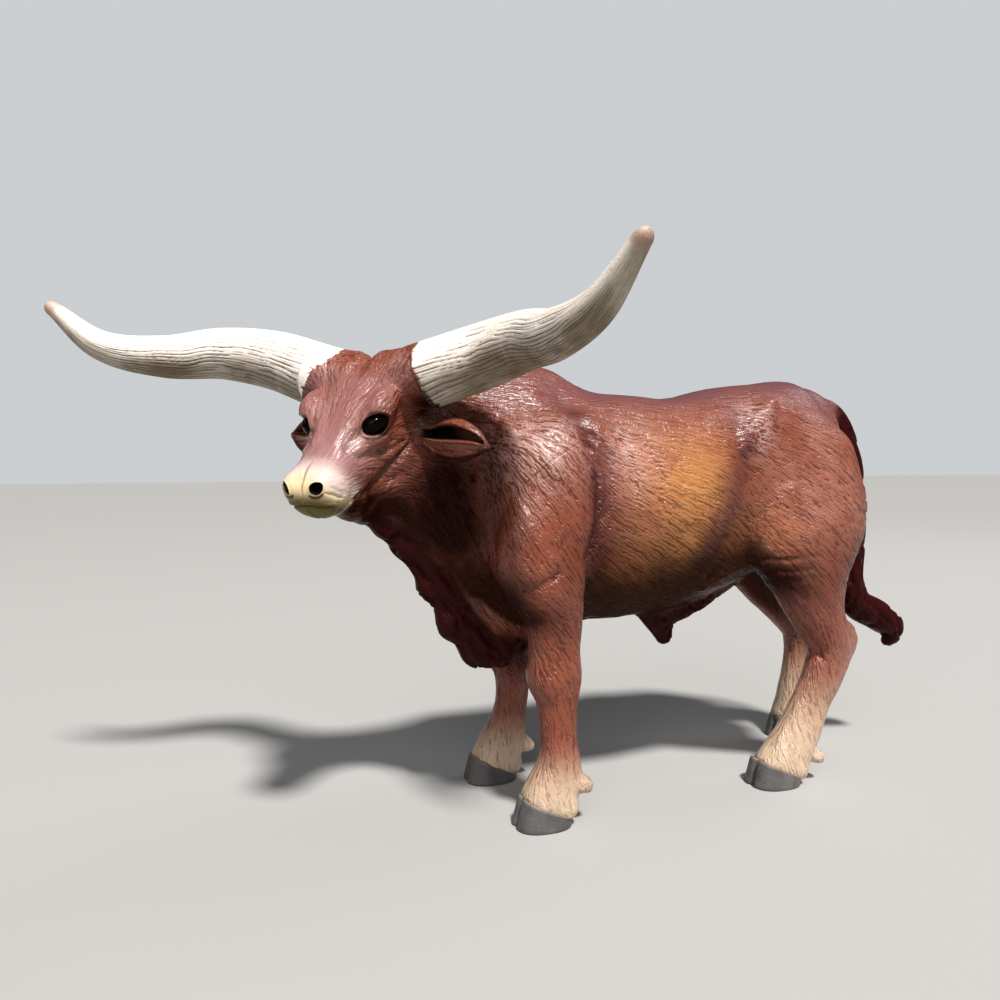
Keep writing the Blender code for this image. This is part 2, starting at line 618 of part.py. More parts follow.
def carve(body, cuts):
    """One Boolean difference takes all cuts out of the body."""
    group = bpy.data.collections.new("cuts")
    bpy.context.scene.collection.children.link(group)
    for cut in cuts:
        group.objects.link(cut)
    boolean = body.modifiers.new("part", "BOOLEAN")
    boolean.operation = "DIFFERENCE"
    boolean.operand_type = "COLLECTION"
    boolean.collection = group
    boolean.solver = "EXACT"
    mesh = evaluated(body)
    bpy.data.objects.remove(body, do_unlink=True)
    for cut in cuts:
        bpy.data.objects.remove(cut, do_unlink=True)
    bpy.data.collections.remove(group)
    return mesh


def loose_pieces(mesh):
    """The mesh's separate closed surfaces, each as points and faces."""
    count = len(mesh.vertices)
    label = np.arange(count)
    edges = np.empty(len(mesh.edges) * 2, dtype=int)
    mesh.edges.foreach_get("vertices", edges)
    a, b = edges.reshape(-1, 2).T
    while True:
        least = np.minimum(label[a], label[b])
        new = label.copy()
        np.minimum.at(new, a, least)
        np.minimum.at(new, b, least)
        new = new[new]
        if (new == label).all():
            break
        label = new
    points = read_points(mesh)
    faces = [tuple(face.vertices) for face in mesh.polygons]
    first = label[[face[0] for face in faces]]
    pieces = []
    for key in np.unique(first):
        own = [faces[i] for i in np.flatnonzero(first == key)]
        used = np.unique(np.concatenate([np.array(face) for face in own]))
        renumber = {old: new for new, old in enumerate(used)}
        pieces.append((points[used], [tuple(renumber[i] for i in face) for face in own]))
    return pieces


def holds(piece, spot):
    """Whether the closed surface goes round the spot, by the solid angles of its triangles."""
    points, faces = piece
    fans = [(face[0], face[i], face[i + 1]) for face in faces for i in range(1, len(face) - 1)]
    arms = points[np.array(fans)] - np.asarray(spot, dtype=float)
    a, b, c = arms[:, 0], arms[:, 1], arms[:, 2]
    la, lb, lc = (np.linalg.norm(arm, axis=1) for arm in (a, b, c))
    top = (a * np.cross(b, c)).sum(1)
    low = la * lb * lc + (a * b).sum(1) * lc + (b * c).sum(1) * la + (c * a).sum(1) * lb
    return abs(np.arctan2(top, low).sum()) > math.pi


def seeds():
    """A spot inside each piece of flesh, for naming the pieces after the cuts."""
    spots = {"head": from_head([(0.0, -10.0, -8.0)])[0], "neck": (0.4, -44.0, 74.0),
             "torso": (0.0, 5.0, 60.0), "dewlap": (0.0, -40.0, 40.0), "tail": (0.0, 57.4, 50.0),
             "sheath": (0.0, 7.0, 33.0), "scrotum": (0.0, 37.4, 42.0)}
    for side, sign in (("left", 1.0), ("right", -1.0)):
        spots["leg_front_" + side] = (sign * 13.2, -24.6, 30.0)
        spots["leg_hind_" + side] = (sign * 12.0, 40.0, 40.0)
    return spots


def hoof_plane(side, end):
    """Point and upward normal of the coronet, higher at the toe than at the heel."""
    x, y = (FRONT_HOOF if end == "front" else HIND_HOOF)[side]
    slope = math.radians(24.0)
    return (x, y, CORONET_HEIGHT - 0.9), (0.0, math.sin(slope), math.cos(slope))


def hoof_outline(count=28):
    """A hoof seen from above: round toes, a notch between them, and a flat heel."""
    turn = np.linspace(0, 2 * math.pi, count, endpoint=False)
    wide = 0.5 * np.sign(np.sin(turn)) * np.abs(np.sin(turn)) ** 0.75
    long = -0.5 * np.sign(np.cos(turn)) * np.abs(np.cos(turn)) ** 0.8
    notch = 0.11 * np.exp(-(wide / 0.09) ** 2) * (long < 0)
    heel = -0.05 * np.exp(-(wide / 0.1) ** 2) * (long > 0)
    return wide, long + notch + heel


def build_hoof(side, end, material):
    """Rings from the sole up to the tilted coronet, drawn in as they rise."""
    x, y = (FRONT_HOOF if end == "front" else HIND_HOOF)[side]
    wide, long = hoof_outline()
    point, normal = hoof_plane(side, end)
    rows = []
    for t, spread in ((0.0, 0.95), (0.12, 1.0), (0.55, 0.955), (1.0, 0.90)):
        px = x + wide * HOOF_WIDTH * spread
        py = y + long * HOOF_LENGTH * spread + 0.9 * t
        top = point[2] - 0.15 - (py - point[1]) * normal[1] / normal[2]
        rows.append(np.stack([px, py, t * top], axis=1))
    rows = np.array(rows)
    mesh = mesh_from("hoof", rows.reshape(-1, 3), grid_faces(len(rows), len(wide)))
    outward(mesh)
    return add_object("hoof_" + end + "_" + side, mesh, material)


def build_ear(side, material):
    """A leaf: rings round its line, each with a round back and a front that dips between rims."""
    ring = 16
    path, tangent = ear_line(side)
    side_size = spline(EAR_SIDES[1:], 11)[:, 0] * HEAD_SCALE
    deep_size = spline(EAR_DEEPS[1:], 11)[:, 0] * HEAD_SCALE
    up = np.array([0.0, 0.0, 1.0]) - tangent[:, 2:] * tangent
    up /= np.linalg.norm(up, axis=1)[:, None]
    back = np.cross(up, tangent) * (1.0 if side == "left" else -1.0)
    turn = np.linspace(0, 2 * math.pi, ring, endpoint=False)
    rows = []
    for i in range(len(path)):
        dip = 1.25 * math.sin(math.pi * min(i / 3.0, 1.0) / 2) * (1.0 if i < 10 else 0.0)
        deep = np.sin(turn)
        front = deep < 0
        deep = np.where(front, deep * (1.0 - dip * np.abs(deep)), deep)
        rows.append(path[i] + np.outer(np.cos(turn) * side_size[i], up[i])
                    + np.outer(deep * deep_size[i], back[i]))
    rows[0] = rows[0] + tangent[0] * GAP / 2
    mesh = mesh_from("ear", np.array(rows).reshape(-1, 3), grid_faces(len(rows), ring))
    outward(mesh)
    return add_object("ear_" + side, mesh, material)


def build_horn(side, material):
    horn = horn_form(side)
    rows = horn.surface(ring=14, cap_rings=4)[4:]
    rows[0] = rows[0] + horn.tangent[0] * GAP / 2
    mesh = mesh_from("horn", rows.reshape(-1, 3), grid_faces(len(rows), 14))
    outward(mesh)
    return add_object("horn_" + side, mesh, material)


def build_eye(side, material):
    sign = 1.0 if side == "left" else -1.0
    spot = (sign * EYE_SPOT[0], EYE_SPOT[1], EYE_SPOT[2])
    form = head_ball(spot, EYE_SIZE)
    rows = form.surface(ring=14, cap_rings=4)
    mesh = mesh_from("eye", rows.reshape(-1, 3), grid_faces(rows.shape[0], 14))
    outward(mesh)
    return add_object("eye_" + side, mesh, material)


def trim_head(head):
    """Eye sockets and nostril pits."""
    cuts = []
    for side, sign in (("left", 1.0), ("right", -1.0)):
        spot = (sign * EYE_SPOT[0], EYE_SPOT[1], EYE_SPOT[2])
        cuts.append(egg_cutter("socket_" + side, spot, EYE_SIZE, grow=GAP))
        cuts.append(egg_cutter("nostril_" + side, (sign * 3.6, -32.2, -5.0), (1.15, 1.15, 1.6)))
    return carve(head, cuts)


def cut_flat(mesh, point, normal):
    """Drop what lies behind a plane, close the cut and keep the largest closed surface."""
    work = bmesh.new()
    work.from_mesh(mesh)
    cut = bmesh.ops.bisect_plane(work, geom=work.verts[:] + work.edges[:] + work.faces[:],
                                 plane_co=point, plane_no=normal, clear_inner=True)
    rim = [e for e in cut["geom_cut"] if isinstance(e, bmesh.types.BMEdge)]
    bmesh.ops.holes_fill(work, edges=rim, sides=0)
    bmesh.ops.recalc_face_normals(work, faces=work.faces)
    work.to_mesh(mesh)
    work.free()


def trim_feet(leg, side, end):
    """The leg ends on the coronet plane."""
    point, normal = hoof_plane(side, end)
    cut_flat(leg.data, np.array(point) + np.array(normal) * GAP / 2, normal)


def scale_and_place(thing):
    points = read_points(thing.data)
    points = points + np.array([FRAME_SHIFT[0], FRAME_SHIFT[1], 0.0])
    write_points(thing.data, points * MM)
    thing.data.shade_smooth()
    thing.data.set_sharp_from_angle(angle=math.radians(40.0))


def main():
    clear_scene()
    brown = make_material("painted_brown", BROWN, 0.42)
    maroon = make_material("painted_maroon", MAROON, 0.42)
    ivory = make_material("painted_ivory", IVORY, 0.5)
    grey = make_material("painted_hoof_grey", HOOF_GREY, 0.5)
    black = make_material("gloss_black", EYE_BLACK, 0.08)
    pieces = loose_pieces(carve(shape_body(), body_cuts()))
    things = {}
    for name, spot in seeds().items():
        mesh = mesh_from(name, *next(piece for piece in pieces if holds(piece, spot)))
        outward(mesh)
        dark = name in ("dewlap", "tail", "sheath", "scrotum")
        things[name] = add_object(name, mesh, maroon if dark else brown)
    head_mesh = trim_head(things.pop("head"))
    things["head"] = add_object("head", head_mesh, brown)
    for side in ("left", "right"):
        for end in ("front", "hind"):
            trim_feet(things["leg_" + end + "_" + side], side, end)
            hoof = build_hoof(side, end, grey)
            things[hoof.name] = hoof
        for thing in (build_horn(side, ivory), build_eye(side, black), build_ear(side, brown)):
            things[thing.name] = thing
    for thing in things.values():
        scale_and_place(thing)


main()
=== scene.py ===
import math

import bmesh
import bpy
import numpy as np
from mathutils import Matrix


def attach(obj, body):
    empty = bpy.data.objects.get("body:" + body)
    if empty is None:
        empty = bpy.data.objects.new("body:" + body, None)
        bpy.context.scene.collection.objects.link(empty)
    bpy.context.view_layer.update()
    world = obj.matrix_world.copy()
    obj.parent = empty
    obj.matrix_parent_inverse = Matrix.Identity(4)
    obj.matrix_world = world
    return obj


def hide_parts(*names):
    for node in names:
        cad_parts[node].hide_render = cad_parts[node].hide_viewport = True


# A hand-painted plastic bull with long horns: one painted skin, horns, hooves and eyes.
# Every size is in millimetres of the bull itself (it faces -y, its left is +x, the
# floor is z = 0) until a mesh is written.

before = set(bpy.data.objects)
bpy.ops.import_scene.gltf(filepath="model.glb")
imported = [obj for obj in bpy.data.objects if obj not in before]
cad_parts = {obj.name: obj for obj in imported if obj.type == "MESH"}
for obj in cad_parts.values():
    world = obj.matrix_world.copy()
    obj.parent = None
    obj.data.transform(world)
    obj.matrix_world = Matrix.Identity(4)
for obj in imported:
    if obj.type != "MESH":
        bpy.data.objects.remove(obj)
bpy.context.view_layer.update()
mm = 0.001
frameShift = np.array([-19.12, 20.54, 0.0])  # the bull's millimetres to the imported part's place
sides = (("left", 1.0), ("right", -1.0))  # each side's name, and its sign along x
print("frame loaded")


# The camera

cameraLook = {
    "spot": (152.215, -83.681, 66.424),
    "right": (0.3294712, 0.94413392, -0.00773789),
    "up": (-0.02851067, 0.01814035, 0.99942887),
    "lens": 28.717,
}


def makeCamera(look):
    # the camera's three directions are given as they stand, its place in millimetres
    data = bpy.data.cameras.new("camera")
    data.lens = look["lens"]
    data.clip_start = 0.005
    data.clip_end = 20.0
    camera = bpy.data.objects.new("camera", data)
    bpy.context.scene.collection.objects.link(camera)
    right, up = np.array(look["right"]), np.array(look["up"])
    back = np.cross(right, up)
    spot = (np.array(look["spot"]) + frameShift) * mm
    rows = np.column_stack([right, up, back, spot])
    camera.matrix_world = Matrix([*rows.tolist(), [0.0, 0.0, 0.0, 1.0]])
    bpy.context.scene.camera = camera


makeCamera(cameraLook)
print("camera set")


# The head's own directions

headPlace = {"poll": (4.0, -57.4, 87.9), "turn": 46.7, "pitch": 41.4, "roll": 1.3, "scale": 0.974}


def headAxes():
    # rows are the head's left, back and up: turned about z, pitched about x, rolled about y
    t, p, r = (math.radians(headPlace[k]) for k in ("turn", "pitch", "roll"))
    turn = np.array([[math.cos(t), -math.sin(t), 0], [math.sin(t), math.cos(t), 0], [0, 0, 1]])
    pitch = np.array([[1, 0, 0], [0, math.cos(p), -math.sin(p)], [0, math.sin(p), math.cos(p)]])
    roll = np.array([[math.cos(r), 0, math.sin(r)], [0, 1, 0], [-math.sin(r), 0, math.cos(r)]])
    return (turn @ pitch @ roll).T


headFrame = headAxes()
headScale = headPlace["scale"]


def fromHead(points):
    return np.asarray(points, dtype=float) * headScale @ headFrame + np.array(headPlace["poll"])


def toHead(points):
    return (points - np.array(headPlace["poll"])) @ headFrame.T / headScale


def headWay(vector):
    return np.asarray(vector, dtype=float) @ headFrame


# Shapes carried along paths

def smoothRows(values, count):
    # Catmull-Rom: each sample is the cubic through the four rows nearest to it
    rows = np.asarray(values, dtype=float)
    rows = rows[:, None] if rows.ndim == 1 else rows
    ends = np.vstack([2 * rows[0] - rows[1], rows, 2 * rows[-1] - rows[-2]])
    t = np.linspace(0.0, len(rows) - 1.0, count)
    i = np.minimum(t.astype(int), len(rows) - 2)
    s = (t - i)[:, None]
    a, b, c, d = ends[i], ends[i + 1], ends[i + 2], ends[i + 3]
    return 0.5 * (2 * b + (c - a) * s + (2 * a - 5 * b + 4 * c - d) * s ** 2
                  + (3 * b - a - 3 * c + d) * s ** 3)


class Form:
    # A superellipse of half width side and half depth deep, carried along a path,
    # with a round cap at each end.

    def __init__(self, path, side, deep, blend=2.0, square=2.2, egg=0.0, cap=None,
                 across=(1.0, 0.0, 0.0), count=48):
        self.centre = smoothRows(path, count)
        self.side = smoothRows(side, count)[:, 0]
        self.deep = smoothRows(deep, count)[:, 0]
        self.blend, self.square, self.egg = blend, square, egg
        tangent = np.gradient(self.centre, axis=0)
        self.step = np.linalg.norm(tangent, axis=1)
        self.tangent = tangent / self.step[:, None]
        lean = np.asarray(across, dtype=float)
        rows = lean - (self.tangent @ lean)[:, None] * self.tangent
        self.across = rows / np.linalg.norm(rows, axis=1)[:, None]
        self.up = np.cross(self.tangent, self.across)
        ends = (min(self.side[0], self.deep[0]), min(self.side[-1], self.deep[-1]))
        self.cap = ends if cap is None else cap

    def local(self, points):
        # nearest place on the path, and the point's offsets across, up and along from it
        square = (points ** 2).sum(1)[:, None] + (self.centre ** 2).sum(1)[None, :]
        i = np.argmin(square - 2 * points @ self.centre.T, axis=1)
        off = points - self.centre[i]
        along = (off * self.tangent[i]).sum(1) / self.step[i]
        last = len(self.centre) - 1
        t = np.clip(i + np.clip(along, -0.5, 0.5), 0, last)
        j = np.minimum(t.astype(int), last - 1)
        s = (t - j)[:, None]

        def mix(rows):
            return rows[j] * (1 - s) + rows[j + 1] * s

        q = points - mix(self.centre)
        over = (q * mix(self.tangent)).sum(1)
        up = (q * mix(self.up)).sum(1) / mix(self.deep[:, None])[:, 0]
        side = (q * mix(self.across)).sum(1) / mix(self.side[:, None])[:, 0]
        return t / last, side, up, over, np.linalg.norm(q, axis=1)

    def distance(self, points):
        # length of the ray from the path, less its length inside the superellipse
        t, side, up, over, length = self.local(points)
        side = side / (1 - self.egg * np.clip(up, -1, 1))
        cap = np.where(over < 0, self.cap[0], self.cap[1])
        n = self.square
        g = (np.abs(side) ** n + np.abs(up) ** n + np.abs(over / cap) ** n) ** (1 / n)
        return length - length / np.maximum(g, 1e-6)

    def bounds(self):
        reach = max(self.side.max() * (1 + abs(self.egg)), self.deep.max(), max(self.cap))
        reach += self.blend + 2.5
        return self.centre.min(0) - reach, self.centre.max(0) + reach

    def surface(self, ring=24, capRings=5):
        # rings round the path, with shrinking rings over both caps
        angle = np.linspace(0, 2 * math.pi, ring, endpoint=False)
        power = 2 / self.square
        up = np.sign(np.cos(angle)) * np.abs(np.cos(angle)) ** power
        side = np.sign(np.sin(angle)) * np.abs(np.sin(angle)) ** power * (1 - self.egg * up)
        lift = np.linspace(math.pi / 2, 0, capRings + 1)[:-1]
        k = np.concatenate([np.zeros(capRings, int), np.arange(len(self.centre)),
                            np.full(capRings, len(self.centre) - 1)])
        middle = np.zeros(len(self.centre))
        push = np.concatenate([-self.cap[0] * np.sin(lift), middle, self.cap[1] * np.sin(lift[::-1])])
        small = np.maximum(np.cos(lift), 0.02)
        shrink = np.concatenate([small, middle + 1.0, small[::-1]])[:, None, None]
        centre = (self.centre[k] + self.tangent[k] * push[:, None])[:, None, :]
        wide = side[None, :, None] * (self.side[k][:, None] * self.across[k])[:, None, :]
        tall = up[None, :, None] * (self.deep[k][:, None] * self.up[k])[:, None, :]
        return centre + shrink * (wide + tall)


def ball(centre, radii, blend=2.0, across=(1.0, 0.0, 0.0), along=(0.0, 1.0, 0.0)):
    # an ellipsoid with radii across, up and along
    centre, along = np.asarray(centre, dtype=float), np.asarray(along, dtype=float)
    along = along / np.linalg.norm(along)
    path = [centre - along * 0.02 * radii[2], centre, centre + along * 0.02 * radii[2]]
    return Form(path, [radii[0]] * 3, [radii[1]] * 3, blend=blend, square=2.0,
                cap=(radii[2] * 0.98, radii[2] * 0.98), across=across, count=5)


def headBall(centre, radii, blend=1.5, along=(0.0, 1.0, 0.0)):
    return ball(fromHead([centre])[0], [r * headScale for r in radii], blend=blend,
                across=headWay((1.0, 0.0, 0.0)), along=headWay(along))


# The bull's flesh

torsoShape = {
    # y, top, bottom, half width
    "rows": [(-39.0, 66.0, 42.0, 8.5), (-33.0, 75.0, 35.5, 12.8), (-25.0, 80.5, 34.5, 15.8),
             (-15.0, 82.6, 36.0, 17.0), (-5.0, 82.8, 36.0, 18.0), (5.0, 82.4, 37.4, 18.6),
             (14.0, 83.3, 40.4, 18.4), (23.0, 85.4, 43.6, 16.8), (33.0, 86.2, 47.0, 15.6),
             (42.0, 85.0, 51.0, 12.6), (46.8, 81.8, 57.0, 8.6)],
    "hump": ((0.0, -24.5, 78.2), (6.2, 9.0, 12.0)),
    "croup": ((0.0, 39.0, 77.6), (9.0, 8.4, 12.0)),
    "hip": ((10.8, 26.0, 76.2), (4.2, 5.6, 6.4)),
    "shoulder": ((12.6, -23.0, 60.0), (5.6, 17.5, 10.2)),
    "point": ((13.0, -29.5, 50.5), (5.4, 7.5, 6.5)),
}


def torsoForms(shape):
    rows = shape["rows"]
    forms = [Form([(0.0, y, (top + low) / 2) for y, top, low, wide in rows],
                  [row[3] for row in rows], [(row[1] - row[2]) / 2 for row in rows],
                  blend=3.0, square=2.25, egg=0.10, cap=(3.8, 3.8)),
             ball(*shape["hump"], blend=6.0), ball(*shape["croup"], blend=5.0)]
    for sign in (1.0, -1.0):
        for name, blend, along in (("hip", 4.0, (0, 1, 0)), ("shoulder", 4.5, (0, 1, -0.25)),
                                   ("point", 4.0, (0, 1, 0))):
            (x, y, z), radii = shape[name]
            forms.append(ball((sign * x, y, z), radii, blend=blend, along=along))
    return forms


neckShape = {
    # path, half widths, half depths, blend
    "crest": ([(0.0, -24.0, 77.0), (0.0, -34.0, 77.0), (-0.4, -43.0, 76.6), (-0.8, -50.5, 77.6)],
              [7.0, 6.6, 5.2, 4.8], [10.0, 9.4, 8.0, 6.6], 4.5),
    "trunk": ([(0.0, -24.0, 62.0), (0.0, -34.0, 63.5), (0.0, -43.5, 66.5), (0.8, -50.5, 71.5)],
              [13.0, 10.8, 8.6, 7.4], [21.0, 18.5, 13.6, 9.6], 4.5),
    "throat": ([(1.0, -44.0, 64.0), (3.4, -52.0, 65.5), (6.0, -58.0, 64.5)],
               [7.0, 5.8, 4.4], [9.0, 7.0, 4.6], 3.5),
}
dewlapShape = {
    "fold": ([(5.0, -59.0, 61.0), (2.2, -53.0, 58.5), (0.6, -46.0, 52.5), (0.0, -41.0, 46.0),
              (0.0, -36.8, 39.4), (0.0, -32.6, 34.2), (0.0, -28.0, 33.4)],
             [2.6, 2.6, 2.8, 3.2, 3.8, 4.6, 4.0], [3.2, 4.4, 5.6, 6.2, 6.8, 6.6, 4.6], 2.6),
    "lobes": [((6.6, -59.6, 59.6), 1.9), ((3.2, -54.6, 56.6), 2.0), ((1.2, -51.0, 53.0), 1.9),
              ((0.0, -45.6, 44.0), 2.2), ((0.6, -41.4, 36.4), 2.6), ((-0.4, -35.6, 30.6), 3.2),
              ((0.8, -30.6, 30.4), 2.8)],
}
bellyShape = {
    "sheath": ([(0.0, 3.6, 38.0), (0.0, 5.8, 34.0), (0.0, 7.2, 30.6)],
               [2.4, 2.1, 1.6], [4.0, 3.0, 1.9], 2.0),
    "web": ([(0.0, 5.5, 36.0), (0.0, 12.0, 37.6), (0.0, 19.0, 41.0), (0.0, 26.0, 45.0)],
            [1.9, 1.8, 1.9, 2.4], [3.0, 3.4, 3.2, 3.0], 2.4),
    "scrotum": ([(0.0, 36.8, 51.0), (0.0, 37.4, 45.4), (0.0, 37.4, 42.0)],
                [2.4, 2.8, 3.0], [2.6, 3.2, 3.4], 0.8),
}
tailShape = {
    "dock": ([(0.0, 43.0, 80.4), (0.3, 49.6, 80.4), (0.8, 54.0, 76.6), (1.3, 57.0, 68.0),
              (1.3, 58.2, 58.0), (0.9, 58.2, 48.5), (0.3, 57.8, 41.0), (0.0, 58.8, 36.2)],
             [3.4, 3.0, 2.7, 2.4, 2.4, 2.5, 2.8, 3.0], [3.4, 3.0, 2.6, 2.4, 2.4, 2.5, 2.9, 3.2], 1.6),
    "tuft": ([(0.0, 57.8, 38.4), (0.0, 60.6, 34.2), (0.2, 65.6, 31.6), (0.3, 69.6, 29.0),
              (0.2, 70.4, 26.4), (0.0, 69.6, 25.0)],
             [3.0, 3.5, 3.7, 3.3, 2.4, 1.5], [3.0, 3.6, 3.7, 3.4, 2.5, 1.6], 1.4),
}


def pathForms(shape, square=2.2):
    forms = []
    for name, entry in shape.items():
        if name != "lobes":
            path, side, deep, blend = entry
            forms.append(Form(path, side, deep, blend=blend, square=square))
    lobes = shape.get("lobes", [])
    return forms + [ball(spot, (size, size, size), blend=2.4) for spot, size in lobes]


legShape = {
    "frontHoof": {"left": (13.8, -27.6), "right": (-11.4, -29.6)},
    "hindHoof": {"left": (12.2, 26.2), "right": (-12.2, 50.2)},
    "frontSides": [5.4, 5.9, 5.1, 4.5, 4.5, 3.5, 3.2, 3.7, 4.2, 4.4, 4.4],
    "frontDeeps": [8.4, 7.4, 5.6, 5.0, 5.0, 3.9, 3.5, 4.2, 4.8, 4.9, 4.7],
    "hindSides": [8.4, 8.0, 6.9, 5.7, 4.6, 4.0, 3.5, 3.2, 3.7, 4.1, 4.3, 4.3],
    "hindDeeps": [13.0, 14.2, 12.4, 8.2, 5.8, 5.3, 4.6, 4.3, 4.7, 5.0, 4.9, 4.7],
    "hindLeft": [(9.5, 35.0, 68.0), (11.4, 35.4, 58.0), (12.3, 34.8, 49.0), (12.1, 36.2, 41.0),
                 (11.8, 38.6, 34.6), (11.7, 41.6, 28.6), (11.8, 40.2, 23.0), (11.9, 36.8, 17.0),
                 (12.0, 33.4, 10.8), (12.2, 30.6, 6.8), (12.2, 27.6, 3.6), (12.2, 26.6, 2.2)],
    "hindRight": [(9.5, 36.0, 68.0), (11.4, 38.0, 58.0), (12.3, 40.0, 49.0), (12.1, 43.6, 41.0),
                  (11.8, 48.4, 34.0), (11.7, 53.4, 28.0), (11.8, 54.0, 22.4), (11.9, 53.0, 16.6),
                  (12.0, 52.2, 11.0), (12.2, 51.8, 7.4), (12.2, 50.6, 4.0), (12.2, 50.0, 2.2)],
}


def turned(points, side):
    sign = 1.0 if side == "left" else -1.0
    return np.asarray(points, dtype=float) * (sign, 1.0, 1.0)


def frontLegForms(shape, side):
    sign = 1.0 if side == "left" else -1.0
    x, y = abs(shape["frontHoof"][side][0]), shape["frontHoof"][side][1]
    step = y - shape["frontHoof"]["left"][1]
    path = [(13.4, -27.5, 53.0), (13.6, -26.2, 45.0), (13.4, -24.8, 39.0), (13.2, -24.6, 33.5),
            (13.1, -24.4, 27.6), (x - 0.5, -24.0 + 0.1 * step, 22.4),
            (x - 0.3, -23.9 + 0.4 * step, 16.0), (x - 0.1, -24.0 + 0.7 * step, 11.5),
            (x, -24.6 + step, 8.2), (x, -26.4 + step, 4.6), (x, -27.2 + step, 2.4)]
    forms = [Form(turned(path, side), shape["frontSides"], shape["frontDeeps"], blend=3.0,
                  square=2.25, cap=(8.0, 1.0)),
             ball((sign * 13.1, -26.2, 27.6), (4.2, 3.6, 3.2), blend=2.0)]
    for k in (-1, 1):
        forms.append(ball((sign * (x + k * 2.1), -20.0 + step, 7.4), (1.7, 1.6, 2.2), blend=1.2,
                          along=(0.0, 1.0, -0.5)))
        forms.append(ball((sign * (x + k * 2.2), -23.4 + step, 3.4), (2.2, 2.2, 2.4), blend=1.4))
    return forms


def hindLegForms(shape, side):
    sign = 1.0 if side == "left" else -1.0
    back = 0.0 if side == "left" else 1.0
    path = shape["hindLeft"] if side == "left" else shape["hindRight"]
    x, y = abs(shape["hindHoof"][side][0]), shape["hindHoof"][side][1]
    forms = [Form(turned(path, side), shape["hindSides"], shape["hindDeeps"], blend=3.0,
                  square=2.2, cap=(10.0, 1.0)),
             ball((sign * 11.6, 45.6 + 11.8 * back, 29.6 - 0.6 * back), (2.7, 3.4, 2.4), blend=2.4),
             ball((sign * 9.0, 41.2, 62.0), (6.4, 13.0, 6.0), blend=4.0),
             ball((sign * 14.2, 27.0 + 2.0 * back, 52.0), (3.6, 7.0, 6.5), blend=4.0)]
    for k in (-1, 1):
        forms.append(ball((sign * (x + k * 2.0), path[9][1] + 5.4, 5.2), (1.6, 1.5, 2.0), blend=1.2,
                          along=(0.0, 1.0, -0.5)))
        forms.append(ball((sign * (x + k * 2.2), y + 4.4, 3.0), (2.2, 2.2, 2.4), blend=1.4))
    return forms


headShape = {
    # y, top, bottom, half width of the skull, in the head's own millimetres
    "rows": [(0.5, 0.2, -17.0, 7.4), (-4.5, 0.6, -19.4, 8.2), (-9.5, 0.3, -19.6, 8.4),
             (-14.5, -0.6, -18.2, 7.7), (-19.5, -1.8, -16.0, 6.2), (-24.5, -2.7, -13.8, 5.25),
             (-28.5, -3.2, -12.4, 5.0), (-30.6, -4.0, -11.8, 4.3)],
    "jaw": ((0.8, -24.4, -14.5), (3.0, 3.8, 2.9), 3.2),
    "muzzle": ((0.0, -28.4, -7.2), (5.2, 4.1, 4.1), 1.8),
    "chin": ((0.2, -27.0, -11.2), (3.8, 2.2, 3.8), 1.6),
    "pairs": [((7.5, -11.6, -2.5), (2.3, 2.7, 4.2), 1.8), ((6.1, -15.0, -4.2), (2.4, 2.9, 3.3), 1.4),
              ((5.6, -9.0, -13.2), (3.2, 6.2, 6.8), 2.2), ((2.8, -30.2, -5.2), (1.8, 1.9, 1.9), 1.2)],
}
earShape = {
    "left": [(6.4, -6.8, -12.6), (11.8, -8.5, -12.2), (14.6, -9.0, -12.4), (18.2, -9.8, -12.3),
             (22.0, -10.7, -12.2), (25.0, -11.4, -12.5)],
    "right": [(-6.4, -5.2, -12.8), (-11.2, -5.6, -13.4), (-14.0, -5.8, -14.0),
              (-17.4, -5.4, -14.4), (-20.4, -4.8, -14.8), (-22.8, -4.3, -15.0)],
    "sides": [1.8, 1.9, 3.5, 4.2, 3.0, 0.7],
    "deeps": [1.6, 1.7, 2.0, 2.1, 1.5, 0.6],
    "hollow": 2.3, "hollowLow": -0.24, "hollowHigh": 0.66,
}
hornShape = {
    "left": [(11.6, -1.5, -3.4), (22.9, 1.6, -1.7), (32.7, -0.8, 2.4), (41.2, -6.9, 7.2),
             (50.1, -10.6, 13.8), (57.4, -9.3, 22.5)],
    "right": [(-11.6, -1.3, -2.6), (-23.0, 2.0, -0.7), (-32.8, -0.4, 3.3), (-41.3, -6.9, 7.4),
              (-50.2, -11.0, 13.2), (-57.5, -10.1, 21.3)],
    "radii": [6.3, 6.0, 5.2, 4.15, 2.93, 1.5],
    "around": 208, "along": 230, "capRings": 8, "seed": {"left": 11, "right": 23},
    "groove": 0.30, "ring": 0.12, "lines": 41, "hairlines": 67,
    "rings": ((0.070, 0.004, 0.55), (0.092, 0.003, 0.4)),  # place along the horn, width and depth
}


def headForms(shape):
    across = headWay((1.0, 0.0, 0.0))
    rows = shape["rows"]
    forms = [Form(fromHead([(0.0, y, (top + low) / 2) for y, top, low, wide in rows]),
                  [row[3] * headScale for row in rows],
                  [(row[1] - row[2]) / 2 * headScale for row in rows],
                  blend=2.0, square=2.35, egg=-0.12, cap=(2.0, 2.0), across=across),
             headBall(*shape["muzzle"]), headBall(*shape["chin"]), headBall(*shape["jaw"])]
    for (x, y, z), radii, blend in shape["pairs"]:
        forms += [headBall((sign * x, y, z), radii, blend=blend) for sign in (1.0, -1.0)]
    return forms


def earForm(shape, side):
    return Form(fromHead(shape[side]), np.array(shape["sides"]) * headScale,
                np.array(shape["deeps"]) * headScale, blend=0.8, square=2.0, cap=(0.6, 0.5),
                across=(0.0, 0.0, 1.0))


